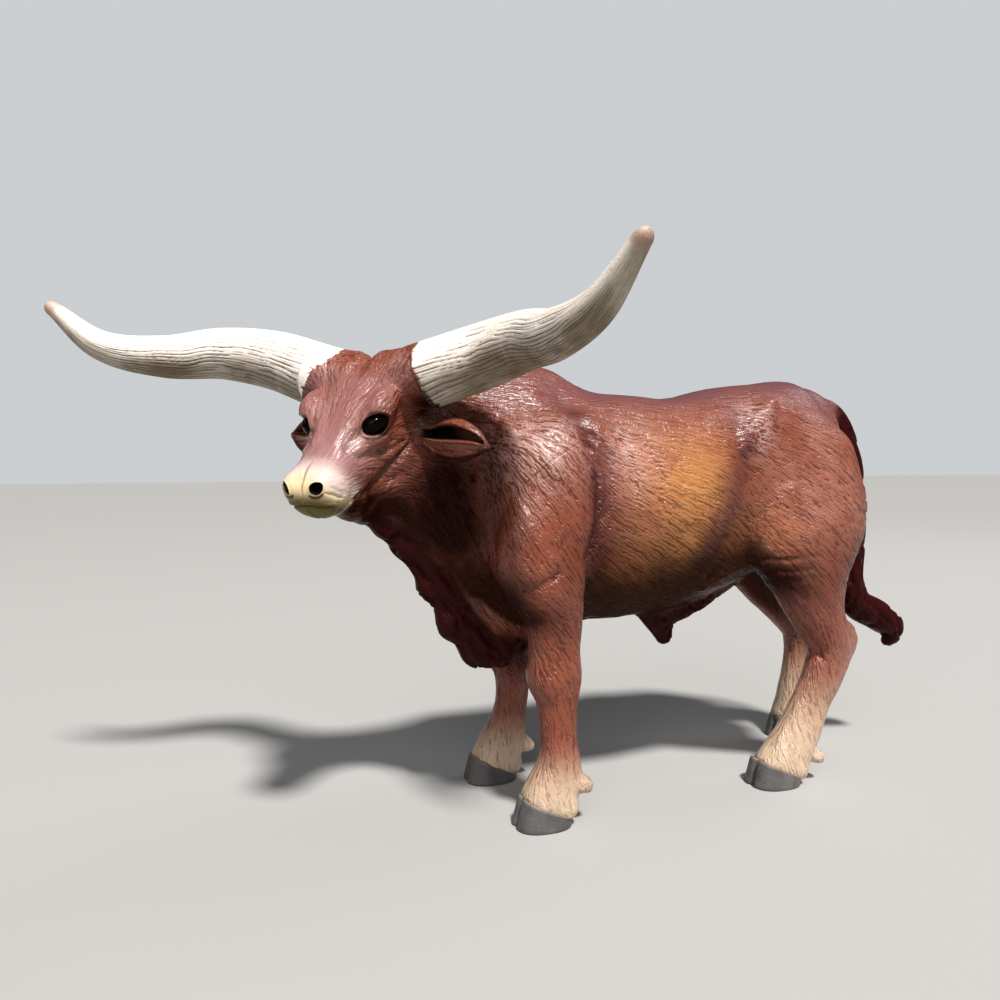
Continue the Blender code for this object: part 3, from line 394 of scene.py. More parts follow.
def hornForm(shape, side):
    radii = np.array(shape["radii"]) * headScale
    return Form(fromHead(shape[side]), radii, radii, square=2.0, across=headWay((0.0, 1.0, 0.0)),
                count=shape["along"])


def coreForm(shape, side):
    # the brow of flesh that carries the horn
    sign = 1.0 if side == "left" else -1.0
    horn = hornForm(shape, side)
    root, base, radius = fromHead([(sign * 4.0, -1.6, -4.0)])[0], horn.centre[0], horn.side[0]
    wide = [radius * 0.94, radius * 0.97, radius * 0.975]
    return Form([root, (root + base) / 2, base + horn.tangent[0] * 0.4], wide, wide,
                blend=2.2, square=2.0, cap=(4.0, 4.5), across=headWay((0.0, 1.0, 0.0)))


def fleshForms():
    forms = torsoForms(torsoShape) + pathForms(neckShape) + pathForms(dewlapShape, 2.1)
    forms += pathForms(bellyShape) + pathForms(tailShape, 2.0) + headForms(headShape)
    for side in ("left", "right"):
        forms += frontLegForms(legShape, side) + hindLegForms(legShape, side)
        forms += [coreForm(hornShape, side), earForm(earShape, side)]
    return forms


# Work on meshes

def inBox(points, low, high):
    return ((points > low) & (points < high)).all(1)


def depthOf(points, forms):
    # signed distance to all forms, melted together by a polynomial smooth minimum
    total = np.full(len(points), 30.0)
    for form in forms:
        near = inBox(points, *form.bounds())
        if near.any():
            one, rest, soft = form.distance(points[near]), total[near], form.blend
            h = np.clip(0.5 + 0.5 * (rest - one) / soft, 0, 1)
            total[near] = rest * (1 - h) + one * h - soft * h * (1 - h)
    return total


def gridFaces(rows, ring):
    # quads between rings, as whole arrays
    i, j = np.meshgrid(np.arange(rows - 1), np.arange(ring), indexing="ij")
    k = (j + 1) % ring
    return np.stack([i * ring + j, i * ring + k, (i + 1) * ring + k, (i + 1) * ring + j],
                    axis=-1).reshape(-1, 4)


def meshFrom(name, rings):
    # rings of points joined by quads, with a fan-free face over each end
    rows, ring = rings.shape[:2]
    faces = gridFaces(rows, ring).tolist()
    faces.append(list(range(ring))[::-1])
    faces.append([(rows - 1) * ring + j for j in range(ring)])
    mesh = bpy.data.meshes.new(name)
    mesh.from_pydata(rings.reshape(-1, 3).tolist(), [], faces)
    outward(mesh)
    return mesh


def outward(mesh):
    work = bmesh.new()
    work.from_mesh(mesh)
    bmesh.ops.recalc_face_normals(work, faces=work.faces)
    work.to_mesh(mesh)
    work.free()


def addObject(name, mesh):
    thing = bpy.data.objects.new(name, mesh)
    bpy.context.scene.collection.objects.link(thing)
    return thing


def readPoints(mesh):
    flat = np.empty(len(mesh.vertices) * 3)
    mesh.vertices.foreach_get("co", flat)
    return flat.reshape(-1, 3)


def writePoints(mesh, points):
    mesh.vertices.foreach_set("co", points.astype(np.float32).ravel())
    mesh.update()


def readNormals(mesh):
    flat = np.empty(len(mesh.vertices) * 3)
    mesh.vertex_normals.foreach_get("vector", flat)
    return flat.reshape(-1, 3)


def readEdges(mesh):
    flat = np.empty(len(mesh.edges) * 2, dtype=int)
    mesh.edges.foreach_get("vertices", flat)
    return flat.reshape(-1, 2)


def neighbourMean(values, edges):
    # mean of each vertex's neighbours, by counting along the edges
    ends = np.concatenate([edges[:, 0], edges[:, 1]])
    other = np.concatenate([edges[:, 1], edges[:, 0]])
    count = np.maximum(np.bincount(ends, minlength=len(values)), 1.0)
    columns = [np.bincount(ends, weights=values[other, k], minlength=len(values)) / count
               for k in range(values.shape[1])]
    return np.stack(columns, axis=1)


def remeshed(mesh, size):
    # the mesh wrapped in one clean closed surface of even quads
    thing = addObject("wrap", mesh)
    wrap = thing.modifiers.new("wrap", "REMESH")
    wrap.mode = "VOXEL"
    wrap.voxel_size = size
    out = bpy.data.meshes.new_from_object(thing.evaluated_get(bpy.context.evaluated_depsgraph_get()))
    bpy.data.objects.remove(thing, do_unlink=True)
    return out


def thinned(mesh, share, wanted):
    # flat places lose points first, down to the share of triangles; what is not wanted stays
    thing = addObject("thin", mesh)
    group = thing.vertex_groups.new(name="thin")
    group.add(np.flatnonzero(wanted(readPoints(mesh))).tolist(), 1.0, "REPLACE")
    thin = thing.modifiers.new("thin", "DECIMATE")
    thin.ratio, thin.vertex_group, thin.vertex_group_factor = share, group.name, 10.0
    out = bpy.data.meshes.new_from_object(thing.evaluated_get(bpy.context.evaluated_depsgraph_get()))
    bpy.data.objects.remove(thing, do_unlink=True)
    return out


def mainPart(mesh):
    # each point takes the lowest number among its neighbours until all stand; crumbs that
    # the cuts left are the points without the commonest number
    edges = readEdges(mesh)
    label, before = np.arange(len(mesh.vertices)), None
    while before is None or (label != before).any():
        before = label
        low = np.minimum(label[edges[:, 0]], label[edges[:, 1]])
        label = label.copy()
        np.minimum.at(label, edges[:, 0], low)
        np.minimum.at(label, edges[:, 1], low)
        label = label[label]
    work = bmesh.new()
    work.from_mesh(mesh)
    work.verts.ensure_lookup_table()
    crumbs = np.flatnonzero(label != np.bincount(label).argmax()).tolist()
    bmesh.ops.delete(work, geom=[work.verts[k] for k in crumbs], context="VERTS")
    work.to_mesh(mesh)
    work.free()


def drawn(mesh, forms, rounds, slide):
    # points slide to even spacing and are drawn along their normals to the melted surface
    edges = readEdges(mesh)
    for turn in range(rounds):
        points, normals = readPoints(mesh), readNormals(mesh)
        if slide > 0 and turn < rounds - 2:
            move = neighbourMean(points, edges) - points
            move -= (move * normals).sum(1)[:, None] * normals * 0.7
            points = points + move * slide
        depth = depthOf(points, forms)
        writePoints(mesh, points - normals * np.clip(depth, -0.8, 0.8)[:, None])


def refined(mesh, wanted):
    # every edge whose two ends are wanted is halved, and its faces are quartered
    work = bmesh.new()
    work.from_mesh(mesh)
    pick = wanted(readPoints(mesh))
    work.edges.ensure_lookup_table()
    edges = [edge for edge in work.edges if pick[edge.verts[0].index] and pick[edge.verts[1].index]]
    bmesh.ops.subdivide_edges(work, edges=edges, cuts=1, use_grid_fill=True)
    work.to_mesh(mesh)
    work.free()


# Strokes on the flesh

def strokeMask(points, path, width):
    # one at the line, falling off as a bell of the distance to it, thinner at both ends
    line = smoothRows(path, max(3 * len(path), 6))
    near = np.flatnonzero(inBox(points, line.min(0) - 3 * width, line.max(0) + 3 * width))
    own = points[near]
    best = np.full(len(own), 1e9)
    place = np.zeros(len(own))
    for k in range(len(line) - 1):
        a, ab = line[k], line[k + 1] - line[k]
        t = np.clip(((own - a) @ ab) / (ab @ ab), 0, 1)
        gap = ((own - a - t[:, None] * ab) ** 2).sum(1)
        closer = gap < best
        best = np.where(closer, gap, best)
        place = np.where(closer, (k + t) / (len(line) - 1), place)
    size = width * (0.35 + 0.65 * np.sqrt(np.clip(np.sin(math.pi * place), 0, 1)))
    mask = np.zeros(len(points))
    mask[near] = np.exp(-best / size ** 2)
    return mask


def blobMask(points, centre, radii):
    # one at the centre, falling off as a bell with a radius for each direction
    return np.exp(-(((points - np.asarray(centre)) / np.asarray(radii)) ** 2).sum(1))


def hindShift(path):
    # how far back the right hind leg's parts stand from the left one's, by height
    path = np.array(path, dtype=float)
    path[:, 1] += np.interp(path[:, 2], [11, 17, 23, 28, 34, 41, 49, 58, 68],
                            [18.8, 16.2, 13.8, 11.8, 9.8, 7.4, 5.2, 2.6, 0.0])
    return path


bodyStrokes = {
    # path on the left side, width, height; the right side has the same
    "shoulderRear": ([(16.5, -18.8, 73.0), (17.4, -17.2, 69.8), (18.0, -16.7, 65.1), (18.2, -16.8, 61.4),
                      (17.9, -16.9, 57.6), (17.4, -17.5, 53.9), (16.7, -18.2, 50.1)], 0.8, -0.95),
    "shoulderValley": ([(16.0, -19.2, 74.0), (17.8, -17.0, 68.0), (18.0, -16.6, 60.0),
                        (17.0, -17.8, 52.0)], 2.6, -0.7),
    "firstRib": ([(15.9, -17.7, 74.5), (17.0, -15.3, 70.7), (17.7, -14.6, 66.0), (17.9, -14.8, 61.4),
                  (17.7, -15.8, 56.7)], 0.8, -0.6),
    "secondRib": ([(14.8, -12.7, 75.0), (16.2, -11.6, 71.7), (17.3, -10.4, 67.9), (17.7, -9.6, 64.1),
                   (17.9, -9.4, 60.5)], 1.0, -0.65),
    "thirdRib": ([(16.0, -7.6, 73.3), (17.3, -6.1, 69.8), (18.0, -5.0, 66.0), (18.2, -4.3, 62.7),
                  (18.2, -4.0, 59.5)], 1.1, -0.55),
    "fourthRib": ([(17.0, -2.0, 71.7), (18.1, -0.5, 67.8), (18.5, 0.6, 64.0)], 1.1, -0.35),
    "neckFoldA": ([(9.4, -43.0, 70.0), (9.1, -41.9, 67.2), (9.4, -41.9, 64.9), (9.5, -41.8, 62.0)],
                  0.7, -0.9),
    "neckFoldB": ([(9.6, -40.0, 70.5), (9.6, -39.4, 67.9), (9.9, -39.3, 65.0)], 0.7, -0.8),
    "neckFoldC": ([(10.4, -36.8, 72.6), (11.0, -36.3, 70.1), (12.0, -35.6, 67.9), (12.3, -35.8, 66.0),
                   (12.3, -36.2, 63.9), (11.8, -36.9, 61.8), (11.4, -37.4, 59.8)], 0.8, -0.9),
    "neckLowA": ([(8.8, -45.5, 61.6), (8.5, -43.1, 57.8), (8.5, -41.2, 53.1), (7.4, -39.4, 48.2)],
                 1.0, -0.8),
    "neckLowB": ([(10.0, -40.0, 59.7), (10.3, -38.6, 55.0), (9.8, -37.3, 50.2), (6.7, -35.5, 44.0)],
                 1.0, -0.7),
    "saddle": ([(3.0, -20.0, 84.6), (8.1, -21.6, 82.3), (12.1, -20.6, 78.5), (15.5, -19.4, 74.8),
                (17.0, -18.2, 71.7)], 2.8, -1.0),
    "shoulderTop": ([(10.0, -33.0, 75.6), (13.3, -30.2, 72.7), (16.4, -27.5, 69.8),
                     (17.7, -26.1, 66.1)], 3.4, 0.8),
    "neckValley": ([(9.5, -35.4, 74.7), (11.0, -35.8, 70.9), (12.3, -35.9, 66.2), (12.9, -36.0, 61.6),
                    (13.2, -36.6, 56.1), (13.0, -37.0, 50.0)], 2.3, -1.1),
    "neckFold": ([(9.9, -36.6, 73.6), (11.0, -37.8, 69.0), (11.6, -38.6, 63.0)], 0.5, -0.4),
    "elbowFold": ([(17.6, -32.5, 44.8), (19.0, -30.1, 45.8), (19.5, -27.9, 47.0),
                   (19.5, -25.6, 48.5)], 0.7, -0.6),
    "elbowPad": ([(18.6, -31.6, 47.4), (19.5, -28.6, 49.0), (19.6, -25.6, 51.0)], 1.8, 0.35),
    "armpit": ([(17.6, -18.6, 53.0), (16.9, -18.9, 49.2), (13.6, -18.4, 44.0)], 1.3, -1.0),
    "flankHollow": ([(17.4, 15.2, 71.0), (18.0, 16.2, 66.8), (18.0, 16.5, 62.4), (17.8, 15.8, 58.4),
                     (16.9, 14.1, 53.6), (15.6, 12.1, 49.5), (12.6, 10.9, 44.3)], 4.2, -0.9),
    "hipRidge": ([(13.8, 24.6, 80.6), (15.0, 21.6, 77.8), (16.0, 18.0, 74.6), (17.4, 14.4, 70.8)],
                 2.4, 1.3),
    "stifleRidge": ([(17.6, 26.6, 63.0), (16.9, 23.0, 59.6), (16.8, 20.4, 56.6), (16.0, 18.2, 52.5)],
                    2.8, 0.7),
    "stifleNotch": ([(17.3, 16.6, 56.5), (17.1, 18.5, 57.1), (16.8, 20.6, 58.0)], 0.35, -0.35),
    "flankFold": ([(11.0, 9.4, 42.4), (12.6, 12.6, 44.6), (12.8, 16.4, 46.4), (12.6, 20.0, 47.4)],
                  0.9, 0.5),
    "dewlapFoldA": ([(2.6, -49.3, 50.0), (2.1, -46.8, 46.0), (2.3, -43.9, 41.9), (3.2, -41.2, 37.0),
                     (3.0, -40.0, 34.0)], 0.8, -0.65),
    "dewlapFoldB": ([(3.0, -42.1, 41.9), (3.7, -38.3, 37.9), (4.4, -34.5, 33.8), (4.0, -31.2, 30.5)],
                    0.9, -0.65),
    "dewlapFoldC": ([(4.6, -56.4, 58.0), (3.0, -52.2, 54.6), (2.5, -50.2, 52.0)], 0.7, -0.5),
    "tailGroove": ([(2.3, 53.5, 76.0), (2.4, 55.9, 66.0), (2.4, 57.0, 56.0), (2.5, 57.0, 47.0),
                    (2.7, 57.3, 42.0)], 0.6, -0.45),
    "tuftGrooveA": ([(2.5, 56.0, 38.4), (3.4, 60.9, 35.1), (3.8, 66.0, 30.8), (2.4, 69.4, 26.7)],
                    0.55, -0.5),
    "tuftGrooveB": ([(2.3, 57.4, 35.4), (3.2, 60.6, 33.0), (3.0, 65.0, 29.0), (0.9, 68.6, 25.4)],
                    0.5, -0.4),
    "tuftGrooveC": ([(1.6, 60.8, 38.0), (2.4, 65.4, 35.4), (2.4, 70.2, 31.6), (1.6, 72.6, 27.8)],
                    0.5, -0.35),
}
hindStrokes = {
    "gaskinFurrow": ([(13.1, 29.4, 37.4), (13.4, 33.1, 33.0), (13.6, 36.3, 28.4), (14.2, 37.8, 25.5)],
                     0.9, -0.6),
    "thighUnder": ([(15.6, 19.6, 50.8), (16.0, 23.2, 47.2), (16.6, 27.1, 43.6), (16.7, 31.1, 39.6)],
                   1.5, -0.6),
    "hockTendon": ([(13.6, 43.4, 36.0), (13.4, 44.8, 33.0), (13.2, 46.6, 30.6)], 0.8, -0.45),
    "hockBone": ([(14.4, 41.2, 31.6), (14.8, 42.4, 28.6), (14.4, 41.4, 25.6)], 1.5, 0.4),
    "shankFurrow": ([(14.6, 39.4, 23.0), (14.6, 37.0, 18.6), (14.8, 34.8, 14.0)], 0.7, -0.3),
}
headStrokes = {
    # in the head's own millimetres, mirrored
    "pollTop": ([(3.0, -1.5, 2.0), (6.0, -1.4, 2.2), (9.2, -1.4, 2.4)], 3.2, -1.1),
    "mouth": ([(0.0, -33.0, -7.2), (1.2, -32.9, -7.3), (2.4, -32.7, -7.8), (4.1, -31.8, -8.6),
               (4.8, -30.2, -9.9), (4.7, -28.3, -11.2), (4.6, -25.6, -11.8), (4.5, -23.4, -12.2)],
              0.3, -0.42),
    "upperLip": ([(0.0, -32.9, -6.4), (2.0, -32.6, -6.9), (3.9, -31.6, -7.9), (4.9, -29.4, -9.2),
                  (5.1, -26.6, -10.4)], 0.6, 0.14),
    "jawFurrow": ([(4.2, -24.2, -12.7), (4.2, -21.8, -13.2), (5.2, -19.6, -13.3), (6.0, -17.9, -13.2),
                   (6.9, -16.3, -12.5), (8.3, -13.5, -12.1), (9.0, -11.1, -11.8)], 0.75, -0.85),
    "browRidge": ([(8.6, -12.8, -1.2), (7.2, -13.8, -0.8), (5.3, -14.6, -0.8), (3.5, -16.3, -1.4),
                   (2.6, -19.0, -2.0), (2.2, -22.2, -2.6)], 1.1, 0.3),
    "tearTrough": ([(5.3, -17.9, -2.9), (4.7, -19.2, -3.3), (4.4, -20.8, -3.7), (4.2, -22.8, -4.1)],
                   1.0, -0.4),
    "eyeBag": ([(8.6, -12.8, -6.9), (7.9, -15.6, -6.9), (6.8, -18.2, -6.0), (5.7, -20.2, -5.3),
                (5.1, -22.0, -4.9)], 0.8, 0.5),
    "bagFurrow": ([(8.4, -13.4, -8.8), (7.2, -16.8, -8.4), (6.0, -19.4, -7.4), (5.2, -22.2, -6.6)],
                  0.8, -0.4),
    "fanA": ([(9.3, -12.6, -3.2), (9.4, -10.6, -4.0), (9.6, -8.4, -4.6)], 0.3, -0.3),
    "fanB": ([(9.2, -12.2, -4.4), (9.2, -10.2, -5.6), (9.4, -7.8, -6.6)], 0.3, -0.3),
    "fanC": ([(8.9, -12.2, -5.6), (9.0, -10.4, -6.9), (9.2, -8.4, -8.2)], 0.3, -0.3),
    "fanD": ([(8.6, -12.8, -6.6), (8.8, -11.0, -8.0), (9.0, -9.4, -9.4)], 0.3, -0.3),
    "cheekFurrow": ([(7.0, -17.2, -8.6), (7.6, -15.3, -9.5), (8.4, -13.6, -10.2), (9.0, -11.2, -10.6)],
                    0.65, -0.55),
    "jawEdge": ([(10.0, -10.4, -16.2), (9.4, -13.6, -17.0), (7.6, -16.4, -17.0), (5.5, -19.4, -16.0),
                 (4.2, -21.6, -15.2)], 0.9, 0.3),
}
muzzleStrokes = {
    # wrinkles beside the nostril; the distance to them counts little along y
    "a": ([(4.3, -31.6, -5.3), (4.9, -30.9, -6.6), (5.2, -29.6, -8.4)], 0.2, -0.2),
    "b": ([(4.9, -31.0, -4.9), (5.3, -30.0, -6.2), (5.5, -28.4, -8.2)], 0.2, -0.2),
    "c": ([(5.3, -29.8, -4.6), (5.6, -28.8, -6.0), (5.7, -27.2, -7.8)], 0.2, -0.16),
    "d": ([(3.6, -31.6, -6.6), (4.3, -31.0, -7.7), (4.8, -29.8, -9.0)], 0.2, -0.18),
}
muzzleFlat = np.array([1.0, 0.3, 1.0])
middleStrokes = {
    # in the head's own millimetres, on its middle
    "muzzleParting": ([(0.2, -26.0, -2.4), (0.3, -29.5, -2.9), (0.3, -31.8, -3.8), (0.3, -32.9, -5.2),
                       (0.3, -33.4, -6.8)], 0.2, -0.25),
    "chinParting": ([(0.3, -33.2, -8.0), (0.3, -32.0, -11.0), (0.2, -30.4, -13.4)], 0.3, -0.25),
    "pollDip": ([(0.6, -5.0, 0.8), (0.6, -1.0, 0.8), (0.6, 3.0, -1.0)], 2.6, -0.2),
    "foreheadPlane": ([(0.0, -9.0, 0.6), (0.0, -15.0, -0.5), (0.0, -21.0, -2.2)], 2.6, -0.25),
}
leftStrokes = {
    # thin lines cast on the left of the body only
    "mouldLine": ([(15.4, -16.4, 74.9), (16.7, -20.0, 72.6), (17.2, -23.8, 70.3), (17.0, -27.2, 68.0),
                   (16.5, -29.6, 66.0), (15.8, -31.5, 64.5)], 0.2, -0.12),
    "bellyScratch": ([(17.1, 1.5, 51.8), (16.4, -0.8, 50.1), (15.4, -2.5, 47.7), (13.9, -2.2, 44.5)],
                     0.24, -0.14),
    "dewlapMould": ([(3.2, -41.2, 36.4), (3.7, -39.3, 39.5), (4.5, -37.4, 42.8)], 0.24, 0.12),
}
faceSpots = {
    # the eye's centre, its outward way, and its radii along, up and outward
    "eye": (7.07, -15.46, -3.7), "eyeOut": (0.77, -0.56, 0.30), "eyeAlong": (-0.63, -0.741, 0.10),
    "eyeRadii": (2.38, 1.50, 1.35),
    "lid": 0.18,
    "nostril": (3.0, -31.7, -4.25), "nostrilRadii": (1.14, 1.4, 1.02), "nostrilDepth": 1.9,
    "jaw": ((8.6, -12.4, -14.4), (3.0, 3.6, 2.6), 0.5),
}


def mirroredPaths(strokes):
    for path, width, height in strokes.values():
        for sign in (1.0, -1.0):
            yield sign, np.array(path) * (sign, 1.0, 1.0), width, height


def strokeHeight(points):
    # the sum of every stroke's bell, in millimetres along the normal
    height = np.zeros(len(points))
    for sign, path, width, tall in mirroredPaths(bodyStrokes):
        height += strokeMask(points, path, width) * tall
    for sign, path, width, tall in mirroredPaths(hindStrokes):
        path = hindShift(path) if sign < 0 else path
        height += strokeMask(points, path, width) * tall
    for path, width, tall in leftStrokes.values():
        height += strokeMask(points, path, width) * tall
    for sign, path, width, tall in mirroredPaths(headStrokes):
        height += strokeMask(points, fromHead(path), width * headScale) * tall
    for path, width, tall in middleStrokes.values():
        height += strokeMask(points, fromHead(path), width * headScale) * tall
    local = toHead(points)
    for sign, path, width, tall in mirroredPaths(muzzleStrokes):
        height += strokeMask(local * muzzleFlat, path * muzzleFlat, width) * tall
    centre, radii, tall = faceSpots["jaw"]
    for sign in (1.0, -1.0):
        height += blobMask(local, np.array(centre) * (sign, 1, 1), radii) * tall
    return height


def smoothStep(low, high, value):
    t = np.clip((value - low) / (high - low), 0, 1)
    return t * t * (3 - 2 * t)


def eyeFrame(sign):
    # rows are the eye's own directions along, up and outward, in head directions
    out = np.array(faceSpots["eyeOut"])
    out = out / np.linalg.norm(out)
    along = np.array(faceSpots["eyeAlong"]) * -1.0
    along = along - (along @ out) * out
    along = along / np.linalg.norm(along)
    return np.stack([along, np.cross(along, out) * -1.0, out]) * (sign, 1, 1)


def eyeLocal(local, sign):
    # a point's place in the eye's own directions, and its grade: one on the eye's outline
    place = (local - np.array(faceSpots["eye"]) * (sign, 1, 1)) @ eyeFrame(sign).T
    a, b, c = faceSpots["eyeRadii"]
    grade = np.sqrt((place[:, 0] / a) ** 2 + (place[:, 1] / b) ** 2)
    near = (local[:, 0] * sign > 3.0) & (np.abs(place[:, 2]) < 4.5)
    return place, np.where(near, grade, 9.0)


def nostrilGrade(local, sign):
    # one on the nostril's rim, which is flattened at its top; the far one is a narrow slit
    far = 1.0 if sign < 0 else 0.0
    place = local - (np.array(faceSpots["nostril"]) + (0.0, 0.3 * far, -0.1 * far)) * (sign, 1, 1)
    place[:, 0] = (place[:, 0] + 0.5 * far * place[:, 2]) * (1 + 0.45 * far)
    place[:, 2] *= 1 + 0.25 * smoothStep(0.2, 0.9, place[:, 2])
    return np.sqrt(((place / np.array(faceSpots["nostrilRadii"])) ** 2).sum(1))


def earPlace(points, side):
    # the points near an ear, their place in its form, and how far they lie over the edges of its hollow
    form = earForm(earShape, side)
    near = np.flatnonzero(inBox(points, *form.bounds()))
    t, across, up, over, _ = form.local(points[near])
    overLow = across - earShape["hollowLow"] - 0.42 * t
    overHigh = across - earShape["hollowHigh"] + 0.1 * t
    return form, near, t, across, up, over, overLow, overHigh


def faceMoves(points):
    # sockets, lids, nostrils and ear hollows, as moves in millimetres
    local = toHead(points)
    move = np.zeros_like(points)
    for sign in (1.0, -1.0):
        place, grade = eyeLocal(local, sign)
        length = np.maximum(np.hypot(place[:, 0], place[:, 1]), 0.1)
        toward = (-place[:, 0] * 0.55 + place[:, 1] * 0.75) / length
        edge = 1.34 + 0.5 * np.clip(toward, 0, 1)
        pit = np.maximum(place[:, 2] + 0.2, 0) * (1 - smoothStep(1.0, edge, grade))
        lid = faceSpots["lid"] * np.exp(-((grade - 1.24) / 0.13) ** 2)
        lid -= 0.1 * np.exp(-((grade - 1.56) / 0.13) ** 2)
        move += headWay(eyeFrame(sign)[2])[None, :] * (lid - pit)[:, None]
        grade = nostrilGrade(local, sign)
        inward = headWay((-sign * 0.35, 0.9, -0.15))
        pit = faceSpots["nostrilDepth"] * (1 - smoothStep(0.80, 1.02, grade))
        pit -= 0.16 * np.exp(-((grade - 1.16) / 0.10) ** 2)
        move += inward[None, :] * pit[:, None]
    for side, sign in sides:
        form, near, t, across, up, over, overLow, overHigh = earPlace(points, side)
        front = sign * up > 0.0
        inside = (np.abs(across) < 1.3) & (np.abs(up) < 1.4) & (np.abs(over) < 0.6)
        high = smoothStep(0.14, -0.14, overHigh)
        low = smoothStep(-0.06, 0.14, overLow)
        run = smoothStep(0.10, 0.22, t) * (1 - smoothStep(0.86, 0.98, t))
        pit = earShape["hollow"] * high * low * run * front * inside
        leaf = smoothStep(-0.75, -0.45, across) * smoothStep(0.0, -0.2, overLow)
        pit += 0.55 * leaf * run * front * inside
        k = np.clip((t * (len(form.up) - 1)).astype(int), 0, len(form.up) - 1)
        move[near] -= sign * form.up[k] * pit[:, None]
    return move


# The lie of the hair

hairLie = {
    # y, z, degrees below the level that the engraved hair runs, from front to back
    "body": [(-28, 84, 8), (-35, 79, 12), (-42, 72, 40), (-36, 66, 58), (-36, 58, 66), (-29, 69, 40),
             (-29, 61, 52), (-26, 54, 55), (-32, 49, 48), (-19, 66, 55), (-26, 43, 42), (-25, 36, 45),
             (-25, 27, 70), (-24, 17, 85), (-26, 7, 82), (-10, 80, 18), (5, 80, 14), (20, 82, 20),
             (-12, 72, 18), (-9, 61, 24), (-3, 50, 34), (-10, 42, 38), (4, 71, 16), (8, 60, 24),
             (4, 46, 34), (15, 63, 40), (13, 52, 42), (20, 75, 15), (27, 71, 30), (35, 82, 12),
             (33, 64, 30), (28, 55, 33), (33, 46, 42), (21, 48, 40), (43, 62, 48), (31, 37, 52),
             (40, 35, 60), (43, 28, 72), (36, 17, 82), (31, 8, 75), (54, 22, 82), (52, 9, 80),
             (55, 70, 88), (57, 50, 90), (58, 40, 75), (66, 31, 38), (70, 26, 70), (-55, 57, 50),
             (-43, 40, 55), (-34, 33, 60), (-38, 50, 70)],
    # spot and way in the head's own millimetres, for its left half
    "head": [((0.0, -2.0, 0.5), (0.15, 1.0, 0.1)), ((3.0, -8.0, 0.0), (0.42, 1.0, 0.0)),
             ((2.0, -16.0, -1.0), (0.25, 1.0, 0.0)), ((2.0, -25.0, -3.0), (0.1, 1.0, 0.0)),
             ((8.0, -9.0, -3.5), (0.35, 1.0, 0.0)), ((6.0, -11.5, -0.5), (0.6, 1.0, 0.4)),
             ((9.5, -9.5, -7.5), (0.2, 1.0, -0.5)), ((7.0, -16.0, -8.5), (0.0, 1.0, -0.8)),
             ((9.0, -12.0, -14.0), (0.0, 1.0, -1.5)), ((5.0, -22.0, -9.0), (0.0, 1.0, -0.5)),
             ((5.5, -29.0, -7.0), (0.0, 0.7, -0.8)), ((3.0, -18.0, -16.0), (0.0, 1.0, -0.3)),
             ((14.0, -8.5, -12.5), (1.0, -0.1, 0.0)), ((20.0, -9.0, -12.5), (1.0, -0.1, 0.0))],
    "bodyReach": 7.0, "headReach": 4.5,  # how far each of them is felt
}


def hairWays(points, normals, lie):
    # the hair's direction: named directions blended by nearness, laid flat on the skin
    body = np.array(lie["body"], dtype=float)
    gap = ((points[:, None, 1:] - body[None, :, :2]) ** 2).sum(2)
    share = np.exp(-gap / lie["bodyReach"] ** 2) + 1e-9
    angle = np.radians((share * body[:, 2]).sum(1) / share.sum(1))
    way = np.stack([0 * angle, np.cos(angle), -np.sin(angle)], axis=1)
    local = toHead(points)
    spots = np.array([np.array(spot) * (sign, 1, 1) for spot, _ in lie["head"] for sign in (1, -1)])
    ways = np.array([np.array(own) * (sign, 1, 1) for _, own in lie["head"] for sign in (1, -1)])
    ways = ways / np.linalg.norm(ways, axis=1)[:, None]
    share = np.exp(-((local[:, None, :] - spots[None]) ** 2).sum(2) / lie["headReach"] ** 2) + 1e-9
    own = headWay(share @ ways / share.sum(1)[:, None])
    inHead = smoothStep(3.0, -2.0, local[:, 1] + 0.25 * local[:, 2] + 1.0)
    inHead = inHead * smoothStep(29.0, 26.0, np.abs(local[:, 0]))
    inHead = (inHead * smoothStep(-21.5, -18.0, local[:, 2]))[:, None]
    way = way * (1 - inHead) + own * inHead
    way = way - (way * normals).sum(1)[:, None] * normals
    return way / np.maximum(np.linalg.norm(way, axis=1), 1e-6)[:, None]


def cloud(points, seed):
    # smooth value noise: random numbers on a lattice, joined by smooth steps
    cells = 32
    rng = np.random.default_rng(seed)
    table = rng.random((cells, cells, cells))
    base = np.floor(points).astype(int)
    f = points - base
    f = f * f * (3 - 2 * f)
    total = np.zeros(len(points))
    for corner in range(8):
        step = np.array([corner & 1, corner >> 1 & 1, corner >> 2 & 1])
        at = (base + step) % cells
        part = np.prod(np.where(step, f, 1 - f), axis=1)
        total += part * table[at[:, 0], at[:, 1], at[:, 2]]
    return total


def combed(points, ways, size, length, seed):
    # noise averaged along the hair: streaks one size wide and one length long
    steps = np.linspace(-0.5, 0.5, 9) * length
    return sum(cloud((points + ways * step) / size, seed) for step in steps) / len(steps)


# Where each paint lies

